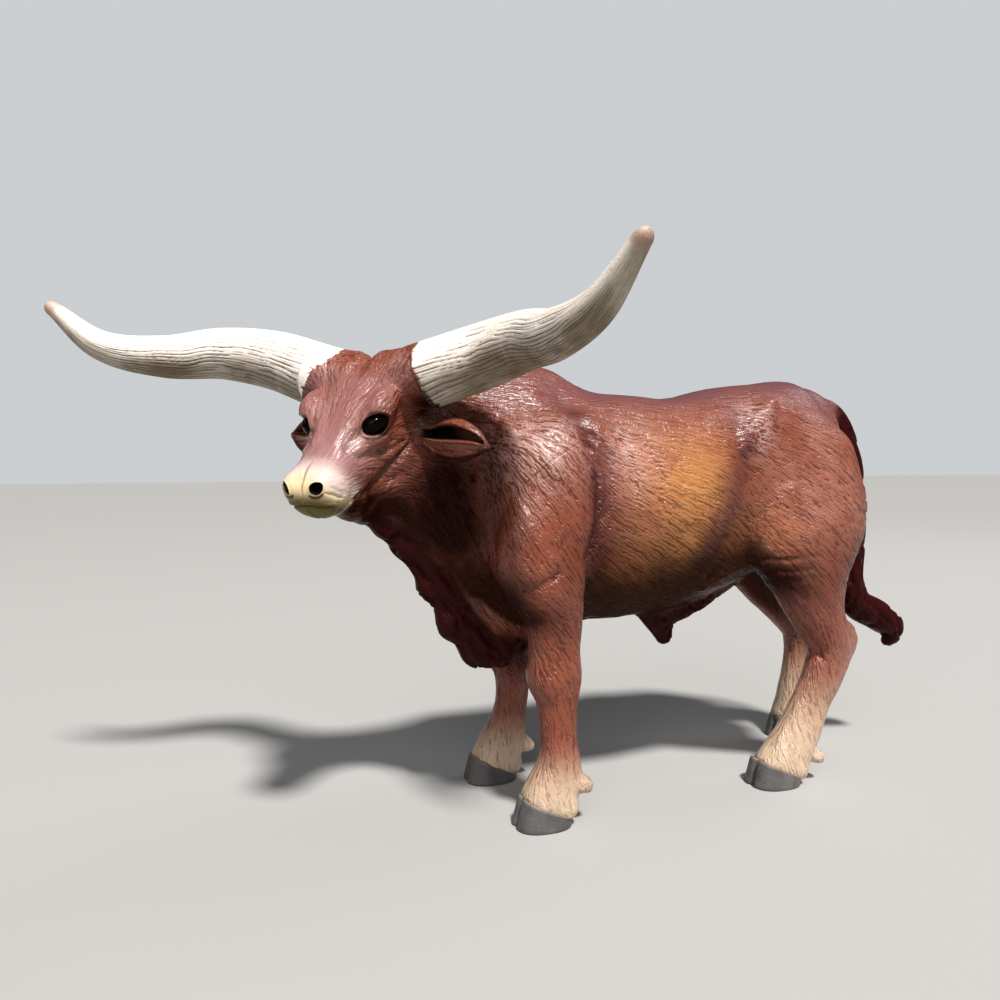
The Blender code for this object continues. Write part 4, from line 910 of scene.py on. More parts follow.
bodySpots = {
    # centre, radii and strength of each paint's soft spots on the left half; the right has the same
    "ochre": [((17.0, 3.0, 62.0), (14.0, 10.5, 10.5), 1.0), ((16.0, 3.0, 52.0), (14.0, 14.0, 9.0), 0.85),
              ((14.0, -6.0, 46.0), (14.0, 10.0, 7.0), 0.7), ((17.0, 22.0, 53.0), (9.0, 5.0, 6.0), 0.3)],
    "topGrey": [((0.0, 0.0, 84.0), (18.0, 32.0, 6.5), 1.0), ((0.0, 36.0, 86.0), (18.0, 20.0, 11.0), 1.0),
                ((0.0, -26.0, 88.0), (9.0, 14.0, 8.0), 0.7)],
    # pink paint on the hock and thigh; on the ribs and the shoulder the pink is also a painted highlight
    "roseAndHighlight": [((12.0, 44.6, 27.6), (7.0, 4.5, 6.0), 1.0), ((16.0, 35.0, 62.0), (8.0, 12.0, 12.0), 0.45),
             ((17.0, -8.0, 67.0), (5.0, 7.0, 7.0), 1.0), ((16.0, -27.0, 69.0), (5.0, 6.0, 6.0), 0.5)],
    # the dark spots below are painted shade on the neck under the head, by the elbow and at the hock
    "dark": [((10.0, -45.0, 57.0), (9.0, 9.0, 17.0), 1.35), ((9.0, -40.0, 46.0), (8.0, 6.0, 12.0), 1.0),
             ((18.6, -22.0, 49.0), (6.0, 6.0, 8.0), 0.4), ((14.0, 43.0, 30.0), (6.0, 6.0, 5.0), 0.3)],
    # the light spots below are a painted highlight on the hip, the top of the shoulder and the ribs
    "paintedHighlight": [((14.6, 19.4, 75.0), (3.2, 3.2, 5.6), 1.2), ((14.6, -28.4, 70.8), (5.5, 7.0, 7.0), 1.1),
            ((16.5, -11.0, 70.0), (5.0, 4.0, 5.0), 0.5)],
    "smooth": [((17.5, 4.0, 69.0), (6.0, 9.0, 6.0), 0.5)],
}
headSpots = {
    # the same, in the head's own millimetres
    # pink on the ear's lower leaf is painted light over the horn's shadow; the second spot lightens the cheek
    # with pink
    "roseAndHighlight": [((16.0, -9.0, -13.2), (7.0, 4.0, 3.6), 0.5), ((6.4, -20.5, -8.5), (4.0, 5.0, 4.0), 0.45)],
    # the dark spots below are painted shade under the ear, under the horn's root, on the temple behind it,
    # under the jaw and under the muzzle
    "dark": [((11.0, -4.0, -17.0), (6.5, 6.0, 5.0), 1.1), ((11.0, -2.6, -9.0), (4.4, 4.0, 4.0), 1.1),
             ((0.0, -22.6, -16.0), (7.0, 6.0, 3.8), 1.4), ((12.6, -6.4, -5.4), (3.0, 3.6, 3.0), 1.2),
             ((3.5, -26.8, -13.8), (4.0, 3.6, 2.2), 1.2)],
    # the light spots below are a painted highlight under the eye, on the brow, the poll and the nose
    "paintedHighlight": [((5.4, -19.2, -4.6), (1.6, 2.6, 1.4), 0.8), ((4.0, -15.5, -0.8), (2.0, 4.5, 1.4), 0.5),
            ((8.0, -4.0, 1.6), (2.2, 4.0, 2.0), 0.7), ((2.0, -27.0, -3.2), (1.6, 1.8, 1.4), 0.5)],
}
bodySprays = {
    # path, width and strength of each paint sprayed along a line on the left half
    # the dark lines below are painted shade along the folds behind the shoulder, in the saddle, the neck's
    # valley, under the thigh, in the gaskin and by the elbow
    "dark": [([(17.4, -17.6, 67.0), (18.0, -17.4, 61.4), (17.9, -17.6, 57.0), (17.4, -18.0, 52.0),
               (15.0, -18.0, 46.0)], 2.2, 0.55),
             ([(8.1, -21.6, 82.3), (12.1, -20.6, 78.5), (15.5, -19.4, 74.8)], 3.0, 0.35),
             ([(9.5, -36.4, 73.7), (12.3, -37.0, 66.2), (12.9, -37.4, 60.6), (13.0, -38.0, 50.0)],
              3.6, 0.75),
             ([(15.6, 19.6, 49.6), (16.0, 23.2, 46.0), (16.6, 28.1, 42.0), (16.0, 31.1, 38.0)], 2.2, 0.2),
             ([(11.0, 29.0, 38.0), (12.6, 33.1, 33.0), (13.0, 36.3, 28.4), (13.0, 37.8, 24.5)], 1.2, 0.2),
             ([(15.0, -35.0, 47.0), (15.4, -33.2, 43.0), (15.0, -31.0, 38.0)], 1.8, 0.4)],
    # the bands below are painted shade in the flank's hollow and in the crease behind the shoulder
    "band": [([(14.4, 15.6, 77.6), (16.2, 15.8, 74.4), (17.2, 15.8, 71.8), (18.3, 14.8, 67.2),
               (18.5, 13.0, 61.9), (18.1, 11.2, 57.1), (16.8, 8.8, 51.4), (14.7, 6.6, 46.4)], 4.2, 1.0),
             ([(12.1, -19.6, 78.5), (16.5, -17.6, 72.0), (18.0, -16.4, 65.1), (17.9, -16.6, 57.6),
               (16.5, -17.6, 48.0)], 3.6, 1.0)],
    "smooth": [([(8.1, -20.0, 82.3), (12.6, -19.0, 78.5), (16.0, -18.0, 74.0), (17.6, -16.0, 68.0)],
                3.0, 0.7)],
}


def leftward(points):
    # the points of the right half moved to their mirrored place on the left
    left = points.copy()
    left[:, 0] = np.abs(left[:, 0])
    return left


def strongest(points, marks, kind):
    # the greatest of several blobs or strokes at each point; a mark is its place, size and strength
    share = np.zeros(len(points))
    for place, size, strength in marks:
        share = np.maximum(share, kind(points, place, size) * strength)
    return share


def sprayed(points, local, name):
    # one paint's share from its spots and sprays on the body and its spots on the head
    left = leftward(points)
    share = strongest(left, bodySpots.get(name, []), blobMask)
    share = np.maximum(share, strongest(left, bodySprays.get(name, []), strokeMask))
    return np.maximum(share, strongest(leftward(local), headSpots.get(name, []), blobMask))


facePlace = {
    # in the head's own millimetres; a pair is where a share begins and where it is whole
    "rear": (-2.0, -8.0), "halfWidth": 14, "throat": (-17.5, -15.0), "jaw": (-19.0, -16.8),
    "lipRear": ([-16.0, -12.3, -11.3], [-33.0, -30.4, -23.2]),  # y of the muzzle's rear edge, by height
    "lipSoft": ([-11.0, -9.0], [0.9, 3.4]),  # how soft that edge is, by height
    "cream": (-29.2, -34.4), "creamNose": (-24.5, -27.5), "pale": (-23.6, -28.2),
    "jowl": (-35.0, -37.0), "chin": (-20.0, -25.0),
    "mauve": (-12.0, -25.5), "mauveLow": (-14.0, -4.0), "brow": (-4.0, 0.5), "browRear": (2.0, -6.0),
}


def faceShare(local):
    # one on the face, falling off behind the eyes and under the jaw, whose line rises to the chin
    rear = smoothStep(*facePlace["rear"], local[:, 1]) * (np.abs(local[:, 0]) < facePlace["halfWidth"])
    return rear * smoothStep(*facePlace["jaw"], local[:, 2] + 0.12 * (local[:, 1] + 26.0))


def muzzleMasks(local, inFace):
    # cream down the nose's slant, pale above it, a dark olive under the chin that is painted shade with the
    # green of reflected light, mauve on the bridge and brow
    place = facePlace
    x, y, z = local.T
    nose = y + 0.22 * (z + 7.0)
    slant = y + 0.62 * z
    behind = (y - np.interp(z, *place["lipRear"])) / np.interp(z, *place["lipSoft"])
    inMuzzle = inFace * smoothStep(0.5, -0.5, behind)
    cream = smoothStep(*place["cream"], slant + 0.10 * x ** 2) * smoothStep(*place["creamNose"], nose)
    jowl = smoothStep(*place["jowl"], slant - 0.3 * np.maximum(y + 31.0, 0))
    brow = smoothStep(*place["brow"], z) * smoothStep(*place["browRear"], y)
    return {
        "cream": cream * inMuzzle,
        "pale": smoothStep(*place["pale"], nose) * inMuzzle,
        "jowl": jowl * smoothStep(*place["chin"], y) * inMuzzle,
        "mauve": smoothStep(*place["mauve"], y) * inFace * smoothStep(*place["mauveLow"], z),
        "brow": brow * (np.abs(x) < 12) * inFace,
    }


def ivoryMask(local):
    # the horn's paint runs over on to the right horn's brow, up to a slanting edge
    x, y, z = local.T
    edge = -7.2 + 0.40 * (y + 2.1) - 0.7 * (2.7 - z)
    return smoothStep(0.6, -0.6, x - edge) * (z > -11.0) * (y > -9.0) * (x > -20.0) * (y < 9.0)


maroonPlace = {
    # y and height of the upper edge of the dewlap's paint and of the belly's
    "dewlap": ([-66, -58.6, -55, -49, -42.4, -37, -33, -20],
               [64.6, 62.6, 59.4, 54.6, 47.6, 39.6, 35.2, 32.4]),
    "belly": ([-4, 5, 14, 22, 37], [34.6, 36.6, 38.4, 41.4, 45.6]),
}


def maroonMask(points, local):
    # the tail, the dewlap below its edge, and the sheath and its web, in maroon paint so dark that on the
    # dewlap and belly it is also painted shade
    x, y, z = points.T
    tail = smoothStep(50.0, 53.0, y + 0.10 * (84.0 - z)) * (np.abs(x) < 5.5)
    dewlap = smoothStep(1.2, -1.2, z - np.interp(y, *maroonPlace["dewlap"])) * smoothStep(-22.0, -26.0, y)
    dewlap *= np.abs(x) < np.where(z < 40, 6.4, 9.0)
    dewlap *= smoothStep(-17.0, -19.5, local[:, 2])
    belly = smoothStep(1.0, -1.0, z - np.interp(y, *maroonPlace["belly"]))
    belly *= (np.abs(x) < 5.0) * smoothStep(-6.0, 0.0, y) * (y < 44)
    return np.clip(np.maximum(np.maximum(tail, dewlap), belly), 0, 1)


darkLines = {
    # width and strength of the painted shade in each of the face's furrows
    "face": [("tearTrough", 1.1, 0.3), ("jawFurrow", 1.0, 0.5), ("cheekFurrow", 0.9, 0.35)],
    "cast": (0.16, 0.6),
    # strength of the painted shade beneath the body and between the legs, and of the dark ring round the eye
    # with its grade and width
    "under": 0.95, "between": 0.85, "eye": (0.55, 1.1, 0.16),
}


def darkMask(points, normals, local):
    # painted shade in the folds, on undersides, between the legs and in the face's furrows; also a dark ring
    # round the eyes and fine dark cast lines
    x, y, z = points.T
    onFace = smoothStep(*facePlace["rear"], local[:, 1]) * smoothStep(*facePlace["throat"], local[:, 2])
    onFace = onFace * (np.abs(local[:, 0]) < facePlace["halfWidth"])
    under = smoothStep(0.1, -0.55, normals[:, 2]) * smoothStep(26.0, 36.0, z - 8.0 * (y > 12))
    between = smoothStep(0.1, -0.7, normals[:, 0] * np.sign(x)) * (np.abs(x) > 2.0)
    between = between * smoothStep(19.0, 34.0, z) * smoothStep(58.0, 44.0, z)
    share = sprayed(points, local, "dark")
    share = np.maximum(share, darkLines["under"] * under * (1 - 0.8 * onFace))
    share = np.maximum(share, darkLines["between"] * between * (1 - onFace))
    strength, middle, wide = darkLines["eye"]
    for _, sign in sides:
        grade = eyeLocal(local, sign)[1]
        share = np.maximum(share, strength * np.exp(-((grade - middle) / wide) ** 2))
        lines = [(fromHead(np.array(headStrokes[name][0]) * (sign, 1, 1)), width, tone)
                 for name, width, tone in darkLines["face"]]
        share = np.maximum(share, strongest(points, lines, strokeMask))
    width, strength = darkLines["cast"]
    lines = [(path, width, strength) for path, _, _ in leftStrokes.values()]
    return np.clip(np.maximum(share, strongest(points, lines, strokeMask)), 0, 1)


def blackMask(points, local):
    # black in the nostrils and the eyes' sockets; in the ears' hollows it is painted shade, darkest at their
    # roots
    share = np.zeros(len(points))
    for side, sign in sides:
        share = np.maximum(share, 1 - smoothStep(1.06, 1.14, nostrilGrade(local, sign)))
        share = np.maximum(share, 1 - smoothStep(1.0, 1.1, eyeLocal(local, sign)[1]))
        form, near, t, across, up, over, overLow, overHigh = earPlace(points, side)
        inner = (sign * up > 0.1) & (np.abs(over) < 0.6)
        hollow = inner * smoothStep(-0.04, 0.08, overLow) * smoothStep(0.12, -0.02, overHigh)
        hollow = hollow * smoothStep(0.11, 0.18, t) * (1 - smoothStep(0.88, 0.96, t))
        hollow *= 1 - 0.4 * smoothStep(0.6, 0.85, t + 0.25 * across)
        share[near] = np.maximum(share[near], hollow)
    return np.clip(share, 0, 1)


lipWash = {
    # the dark under the nostril, then width and strength of the wash in each kind of line
    "path": [(1.6, -32.6, -5.25), (2.3, -32.5, -5.62), (3.3, -32.0, -5.68), (4.1, -31.4, -5.25)],
    "nostril": (0.32, 1.9), "wrinkle": (0.13, 0.4), "mouth": (0.34, 0.45), "parting": (0.22, 1.0),
}


def lipMask(points, local):
    # the brown wash in the muzzle's parting, under the nostrils, in the wrinkles and along the mouth
    lines = [(fromHead(middleStrokes["muzzleParting"][0]), *lipWash["parting"])]
    flatLines = []
    for _, sign in sides:
        mirror = np.array([sign, 1.0, 1.0])
        lines.append((fromHead(np.array(headStrokes["mouth"][0]) * mirror), *lipWash["mouth"]))
        flatLines.append((np.array(lipWash["path"]) * mirror * muzzleFlat, *lipWash["nostril"]))
        flatLines += [(np.array(path) * mirror * muzzleFlat, *lipWash["wrinkle"])
                      for path, _, _ in muzzleStrokes.values()]
    share = strongest(points, lines, strokeMask)
    return np.maximum(share, strongest(local * muzzleFlat, flatLines, strokeMask))


def hairMask(points, local, masks, inFace):
    # how deep the engraved hair is: shallow along the back, on the face and where paint lies thick
    left = leftward(points)
    smooth = 0.9 * masks["topGrey"] + 0.5 * masks["mauve"] + 0.3 * masks["cream"]
    smooth += strongest(left, bodySprays["smooth"], strokeMask)
    smooth += strongest(left, bodySpots["smooth"], blobMask)
    hair = 1.0 - np.clip(smooth + 0.6 * masks["roseAndHighlight"] * (points[:, 2] < 34) + masks["black"], 0, 0.9)
    hair *= 1.0 - 0.6 * masks["maroon"] - 0.35 * masks["shank"]
    hair *= 1 - 0.45 * inFace * (np.abs(local[:, 0]) < 9) * smoothStep(-9.0, -5.0, local[:, 2])
    return np.clip(hair * (1 - 0.9 * masks["ivory"]) * (1 - 0.5 * masks["pale"]), 0.08, 1.0)


def paintMasks(points, normals):
    # each paint's share at every point
    local = toHead(points)
    inFace = faceShare(local)
    x, y, z = points.T
    masks = {name: sprayed(points, local, name) for name in ("ochre", "topGrey", "roseAndHighlight", "paintedHighlight", "band")}
    masks.update(muzzleMasks(local, inFace))
    shank = np.where(y < 5.0, smoothStep(17.0, 5.0, z), smoothStep(29.0, 6.0, z))
    masks["shank"] = shank * (np.abs(x) > 4.0)
    masks["ivory"] = ivoryMask(local)
    masks["maroon"] = maroonMask(points, local)
    masks["dark"] = darkMask(points, normals, local)
    masks["black"] = blackMask(points, local)
    masks["lipWash"] = lipMask(points, local)
    masks["hair"] = hairMask(points, local, masks, inFace)
    return masks


# The skin

skinMake = {
    "rough": 0.95, "fine": 0.58,  # voxels of the first and the second wrap
    # rounds and slide of each drawing to the forms
    "roughDraw": (12, 0.5), "fineDraw": (4, 0.4), "lastDraw": (3, 0.3),
    # height of the locks, and their size, length and seed; then the same for the maroon parts' ruffles
    "lock": 0.065, "lockNoise": (1.25, 5.0, 3), "ruffle": 0.75, "ruffleNoise": (2.2, 9.0, 9),
    "footReach": (8.0, 12.0), "footHigh": 9.0, "footNarrow": 0.16, "footInside": 0.9,
    "thin": 0.53,  # share of the triangles that stays
}
feet = [(side, end) for side, _ in sides for end in ("front", "hind")]


finePlace = {
    # low and high corners in the head's own millimetres; the ear's box is mirrored for the other ear
    "head": ((-27.0, -40.0, -20.0), (27.0, 3.0, 8.0)),
    "ear": ((10.4, -np.inf, -18.0), (np.inf, -2.0, -7.0)),
    "muzzle": ((-np.inf, -np.inf, -12.0), (np.inf, -29.6, np.inf)),
    "eyeGrade": 2.0, "line": (1.0, 0.4),
}


def headArea(points):
    # the head and ears, ahead of the horns' roots
    return inBox(toHead(points), *finePlace["head"])


def lineArea(points):
    # a millimetre either side of the thin lines cast on the left of the body
    width, least = finePlace["line"]
    return sum(strokeMask(points, path, width) for path, _, _ in leftStrokes.values()) > least


def faceArea(points):
    # the eyes, nostrils, mouth and ears, which carry the smallest forms
    local = toHead(points)
    pick = inBox(leftward(local), *finePlace["ear"]) | inBox(local, *finePlace["muzzle"])
    for _, sign in sides:
        pick |= eyeLocal(local, sign)[1] < finePlace["eyeGrade"]
    return (pick & headArea(points)) | lineArea(points)


def cutFoot(work, point, normal):
    # the skin ends on a plane inside the hoof
    wide, long = skinMake["footReach"]
    near = [v for v in work.verts if v.co.z < skinMake["footHigh"] and abs(v.co.x - point[0]) < wide
            and abs(v.co.y - point[1]) < long]
    inside = set(near)
    edges = [e for e in work.edges if e.verts[0] in inside and e.verts[1] in inside]
    faces = [f for f in work.faces if all(v in inside for v in f.verts)]
    cut = bmesh.ops.bisect_plane(work, geom=near + edges + faces, plane_co=point, plane_no=normal,
                                 clear_inner=True)
    rim = [e for e in cut["geom_cut"] if isinstance(e, bmesh.types.BMEdge)]
    bmesh.ops.holes_fill(work, edges=rim, sides=0)


def footPlane(side, end):
    x, y = legShape["frontHoof" if end == "front" else "hindHoof"][side]
    slope = math.radians(24.0)
    return np.array([x, y, 3.7]), np.array([0.0, math.sin(slope), math.cos(slope)])


def narrowFeet(points):
    # each leg's end is drawn in toward its middle where it enters the hoof
    wide, long = skinMake["footReach"]
    for side, end in feet:
        point, normal = footPlane(side, end)
        near = (np.abs(points[:, 0] - point[0]) < wide) & (np.abs(points[:, 1] - point[1]) < long)
        pull = smoothStep(-0.2, 0.5, (point - points) @ normal) * near
        pull = pull * (points[:, 2] < skinMake["footHigh"])
        centre = point + (0.0, 0.6, 0.0)
        points = points - (points - centre) * (skinMake["footNarrow"] * pull)[:, None] * (1.0, 1.0, 0.0)
    return points


def cutFeet(mesh):
    work = bmesh.new()
    work.from_mesh(mesh)
    for side, end in feet:
        point, normal = footPlane(side, end)
        cutFoot(work, point - normal * skinMake["footInside"], normal)
    bmesh.ops.recalc_face_normals(work, faces=work.faces)
    work.to_mesh(mesh)
    work.free()


def roughFlesh(forms):
    # the rings and caps of every form in one mesh, still passing through each other
    blocks, faces, base = [], [], 0
    for form in forms:
        rings = form.surface()
        rows, ring = rings.shape[:2]
        blocks.append(rings.reshape(-1, 3))
        faces += (gridFaces(rows, ring) + base).tolist()
        faces.append([base + j for j in range(ring)][::-1])
        faces.append([base + (rows - 1) * ring + j for j in range(ring)])
        base += rows * ring
    mesh = bpy.data.meshes.new("rough")
    mesh.from_pydata(np.vstack(blocks).tolist(), [], faces)
    outward(mesh)
    return mesh


def drawnFlesh(forms):
    # wrapped twice and drawn to the melted forms, with finer points on the head and finest on the face
    mesh = remeshed(roughFlesh(forms), skinMake["rough"])
    drawn(mesh, forms, *skinMake["roughDraw"])
    mesh = remeshed(mesh, skinMake["fine"])
    drawn(mesh, forms, *skinMake["fineDraw"])
    refined(mesh, lambda points: headArea(points) | lineArea(points))
    drawn(mesh, forms, *skinMake["lastDraw"])
    refined(mesh, faceArea)
    drawn(mesh, forms, *skinMake["lastDraw"])
    return mesh


def relief(points, ways, masks):
    # the height of strokes, of the hair's locks and of the maroon parts' ruffles, in millimetres
    local = toHead(points)
    locks = (combed(points, ways, *skinMake["lockNoise"]) - 0.5) / 0.08
    ruffles = 1 - np.minimum(np.abs(combed(points, ways, *skinMake["ruffleNoise"]) - 0.5) / 0.05, 1)
    calm = 1 - 0.6 * smoothStep(*facePlace["rear"], local[:, 1]) * (local[:, 2] > -19)
    height = strokeHeight(points) + skinMake["lock"] * locks * masks["hair"] * calm
    return height - skinMake["ruffle"] * ruffles ** 1.5 * masks["maroon"]


def makeSkin():
    mesh = drawnFlesh(fleshForms())
    print("skin drawn:", len(mesh.polygons), "faces")
    points, normals = readPoints(mesh), readNormals(mesh)
    masks = paintMasks(points, normals)
    ways = hairWays(points, normals, hairLie)
    moved = points + normals * relief(points, ways, masks)[:, None]
    writePoints(mesh, narrowFeet(moved + faceMoves(moved)))
    masks["way"] = ways
    storeMasks(mesh, masks)
    cutFeet(mesh)
    mesh = thinned(mesh, skinMake["thin"], lambda points: ~faceArea(points))
    mainPart(mesh)
    mesh.calc_loop_triangles()
    print("skin thinned:", len(mesh.loop_triangles), "triangles")
    return mesh


def storeMasks(mesh, masks):
    for name, values in masks.items():
        vector = values.ndim == 2
        layer = mesh.attributes.new(name, "FLOAT_VECTOR" if vector else "FLOAT", "POINT")
        layer.data.foreach_set("vector" if vector else "value", values.astype(np.float32).ravel())


def placed(mesh):
    # from the bull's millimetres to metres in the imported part's place
    writePoints(mesh, (readPoints(mesh) + frameShift) * mm)
    mesh.shade_smooth()
    return mesh


# The horns

def streaks(u, v, cellsU, cellsV, seed):
    # smooth noise on a grid that closes round u and is long in v
    rng = np.random.default_rng(seed)
    table = rng.random((cellsU, cellsV + 2))
    a, b = u * cellsU, v * cellsV
    i, j = np.floor(a).astype(int), np.floor(b).astype(int)
    s, t = a - i, b - j
    s, t = s * s * (3 - 2 * s), t * t * (3 - 2 * t)
    i0, i1 = i % cellsU, (i + 1) % cellsU
    j0, j1 = np.clip(j, 0, cellsV + 1), np.clip(j + 1, 0, cellsV + 1)
    return ((table[i0, j0] * (1 - s) + table[i1, j0] * s) * (1 - t)
            + (table[i0, j1] * (1 - s) + table[i1, j1] * s) * t)


def makeHorn(side):
    # radius(u, v) is the tapering round less wavy lengthwise grooves and a few rings at the root
    shape = hornShape
    form = hornForm(shape, side)
    count, ring, capRings = shape["along"], shape["around"], shape["capRings"]
    lift = np.linspace(0, math.pi / 2, capRings + 1)[1:]
    tip = min(form.side[-1], form.deep[-1]) * 1.25
    k = np.concatenate([np.arange(count), np.full(capRings, count - 1)])
    push = np.concatenate([np.zeros(count), tip * np.sin(lift)])
    shrink = np.concatenate([np.ones(count), np.maximum(np.cos(lift), 0.03)])
    v = np.concatenate([np.linspace(0, 1, count), np.ones(capRings)])
    u = np.linspace(0, 1, ring, endpoint=False)
    grid = np.meshgrid(v, u, indexing="ij")
    vv, uu = grid[0], grid[1]
    seed = shape["seed"][side]
    sway = 1.0 * (streaks(uu, vv, 6, 5, seed) - 0.5) + 0.55 * (streaks(uu, vv, 13, 15, seed + 1) - 0.5)
    coarse = shape["lines"] * uu + 1.4 * sway
    fine = shape["hairlines"] * uu + 2.0 * sway + 0.37
    coarse = np.exp(-((coarse - np.round(coarse)) / 0.13) ** 2)
    fine = np.exp(-((fine - np.round(fine)) / 0.15) ** 2)
    whole = smoothStep(0.22, 0.52, streaks(uu, vv, 40, 12, seed + 9))
    broken = smoothStep(0.28, 0.58, streaks(uu, vv, 52, 15, seed + 8))
    cut = np.clip(coarse * whole + 0.7 * fine * broken, 0, 1)
    skyward = (np.sin(2 * math.pi * u)[None, :] * form.across[k][:, 2:]
               + np.cos(2 * math.pi * u)[None, :] * form.up[k][:, 2:])
    under = smoothStep(0.9, -0.7, skyward)
    strength = (0.35 + 0.65 * smoothStep(1.0, 0.6, vv)) * (0.48 + 0.52 * under)
    ringAt = np.zeros_like(vv)
    for spot, width, tall in shape["rings"]:
        wave = spot + 0.008 * (streaks(uu, vv * 0, 9, 2, seed + 5) - 0.5)
        ringAt += tall * np.exp(-((vv - wave) / width) ** 2) * (0.5 if side == "right" else 0.2)
    radius = form.side[k][:, None] - shape["groove"] * cut * strength
    radius = radius - shape["ring"] * ringAt + 0.12 * (streaks(uu, vv, 5, 8, seed + 6) - 0.5)
    radius = radius * shrink[:, None]
    wide = np.sin(2 * math.pi * u)[None, :, None] * form.across[k][:, None, :]
    tall = np.cos(2 * math.pi * u)[None, :, None] * form.up[k][:, None, :]
    rings = (form.centre[k] + form.tangent[k] * push[:, None])[:, None, :]
    rings = rings + radius[:, :, None] * (wide + tall)
    mesh = meshFrom("horn_" + side, rings)
    groove = np.clip(cut * strength * 1.15 + 0.5 * ringAt, 0, 1)
    edge = (0.005 + 0.016 * np.abs(skyward) ** 1.5) * (1.0 if side == "left" else -1.0)
    edge = edge + 0.016 * (streaks(uu, vv * 0 + 0.3, 36, 2, seed + 7) - 0.5)
    border = 1 - smoothStep(-0.002, 0.003, vv - edge)
    # under marks the downward side, for the painted shade on the horn's underside
    storeMasks(mesh, {"groove": groove.ravel(), "along": vv.ravel(), "border": border.ravel(),
                      "under": (smoothStep(0.30, -0.60, skyward) + 0 * vv).ravel()})
    return placed(mesh)


# The hooves and eyes

hoofShape = {"length": 11.0, "width": 9.6, "around": 96, "rows": 22, "cleft": 0.13, "heel": 0.07}


def makeHoof(side, end):
    # the outline is a squared round with a cleft at toe and heel; it is drawn in as it rises
    shape = hoofShape
    x, y = legShape["frontHoof" if end == "front" else "hindHoof"][side]
    turn = np.linspace(0, 2 * math.pi, shape["around"], endpoint=False)
    wide = 0.5 * np.sign(np.sin(turn)) * np.abs(np.sin(turn)) ** 0.75
    long = -0.5 * np.sign(np.cos(turn)) * np.abs(np.cos(turn)) ** 0.8
    point, normal = footPlane(side, end)
    t = np.concatenate([[0.0, 0.0, 0.0], np.linspace(0.0, 1.0, shape["rows"]), [1.0, 1.0]])
    inset = np.concatenate([[0.10, 0.6, 0.9], np.ones(shape["rows"]), [0.8, 0.1]])
    spread = np.interp(t, [0.0, 0.04, 0.12, 0.55, 0.93, 1.0], [0.955, 0.985, 1.0, 0.955, 0.915, 0.88])
    front, rear = long < 0, long > 0
    cleft = shape["cleft"] * np.exp(-(wide / 0.055) ** 2) * front
    cleft = cleft - shape["heel"] * np.exp(-(wide / 0.07) ** 2) * rear
    growth = 0.10 * np.sin(t * 21.0)[:, None] * (t < 0.98)[:, None]
    px = wide[None, :] * (shape["width"] * spread * inset)[:, None]
    py = (long + cleft)[None, :] * (shape["length"] * spread * inset)[:, None] + 0.9 * t[:, None]
    px, py = px * (1 + 0.012 * growth) + x, py * (1 + 0.012 * growth) + y
    top = point[2] + 0.25 - (py - point[1]) * normal[1] / normal[2]
    pz = t[:, None] * top
    mesh = meshFrom("hoof", np.stack([px, py, pz], axis=2))
    storeMasks(mesh, {"rise": np.repeat(t, shape["around"])})
    return placed(mesh)


def makeEye(side):
    # an ellipsoid on a grid of longitude and latitude
    sign = 1.0 if side == "left" else -1.0
    u = np.linspace(0, 2 * math.pi, 48, endpoint=False)
    w = np.linspace(-math.pi / 2 + 0.02, math.pi / 2 - 0.02, 32)
    a, b, c = faceSpots["eyeRadii"]
    local = np.stack([a * np.cos(w)[:, None] * np.cos(u)[None, :],
                      b * np.cos(w)[:, None] * np.sin(u)[None, :],
                      c * np.sin(w)[:, None] + 0 * u[None, :]], axis=2)
    local = local @ eyeFrame(sign) + np.array(faceSpots["eye"]) * (sign, 1, 1)
    return placed(meshFrom("eye_" + side, fromHead(local.reshape(-1, 3)).reshape(local.shape)))


# Paint and plastic

def addNode(tree, kind, inputs=None, **settings):
    node = tree.nodes.new(kind)
    for name, value in settings.items():
        setattr(node, name, value)
    for key, value in (inputs or {}).items():
        if isinstance(value, bpy.types.NodeSocket):
            tree.links.new(value, node.inputs[key])
        else:
            node.inputs[key].default_value = value
    return node


def attributeValue(tree, name, vector=False):
    node = addNode(tree, "ShaderNodeAttribute", attribute_name=name)
    return node.outputs["Vector" if vector else "Fac"]


def calc(tree, kind, a, b=0.0, clamp=False):
    return addNode(tree, "ShaderNodeMath", {0: a, 1: b}, operation=kind, use_clamp=clamp).outputs[0]


def blendColour(tree, factor, a, b, kind="MIX"):
    a = (*a, 1.0) if isinstance(a, tuple) else a
    b = (*b, 1.0) if isinstance(b, tuple) else b
    node = addNode(tree, "ShaderNodeMix", {0: factor, 6: a, 7: b}, data_type="RGBA", blend_type=kind)
    return node.outputs[2]


def ranged(tree, value, low, high, toLow=0.0, toHigh=1.0):
    return addNode(tree, "ShaderNodeMapRange", {0: value, 1: low, 2: high, 3: toLow, 4: toHigh},
                   interpolation_type="SMOOTHSTEP").outputs[0]


def newGroup(name, ins, outs):
    group = bpy.data.node_groups.new(name, "ShaderNodeTree")
    for label, kind, value in ins:
        socket = group.interface.new_socket(name=label, in_out="INPUT", socket_type=kind)
        if value is not None:
            socket.default_value = value
    for label in outs:
        group.interface.new_socket(name=label, in_out="OUTPUT", socket_type="NodeSocketFloat")
    return group, addNode(group, "NodeGroupInput"), addNode(group, "NodeGroupOutput")


def combNode(group, place, way, width, length, taps):
    # one noise sampled at several places along the hair and averaged, which draws it out in streaks
    total = 0.0
    for k in range(taps):
        step = (k / (taps - 1) - 0.5) * length
        shift = addNode(group, "ShaderNodeVectorMath", {0: way, "Scale": step}, operation="SCALE")
        spot = addNode(group, "ShaderNodeVectorMath", {0: place, 1: shift.outputs[0]}, operation="ADD")
        value = addNode(group, "ShaderNodeTexNoise", {"Vector": spot.outputs[0], "Scale": 1 / width,
                                                      "Detail": 0.0}).outputs["Fac"]
        total = calc(group, "ADD", value, total)
    return calc(group, "DIVIDE", total, float(taps))


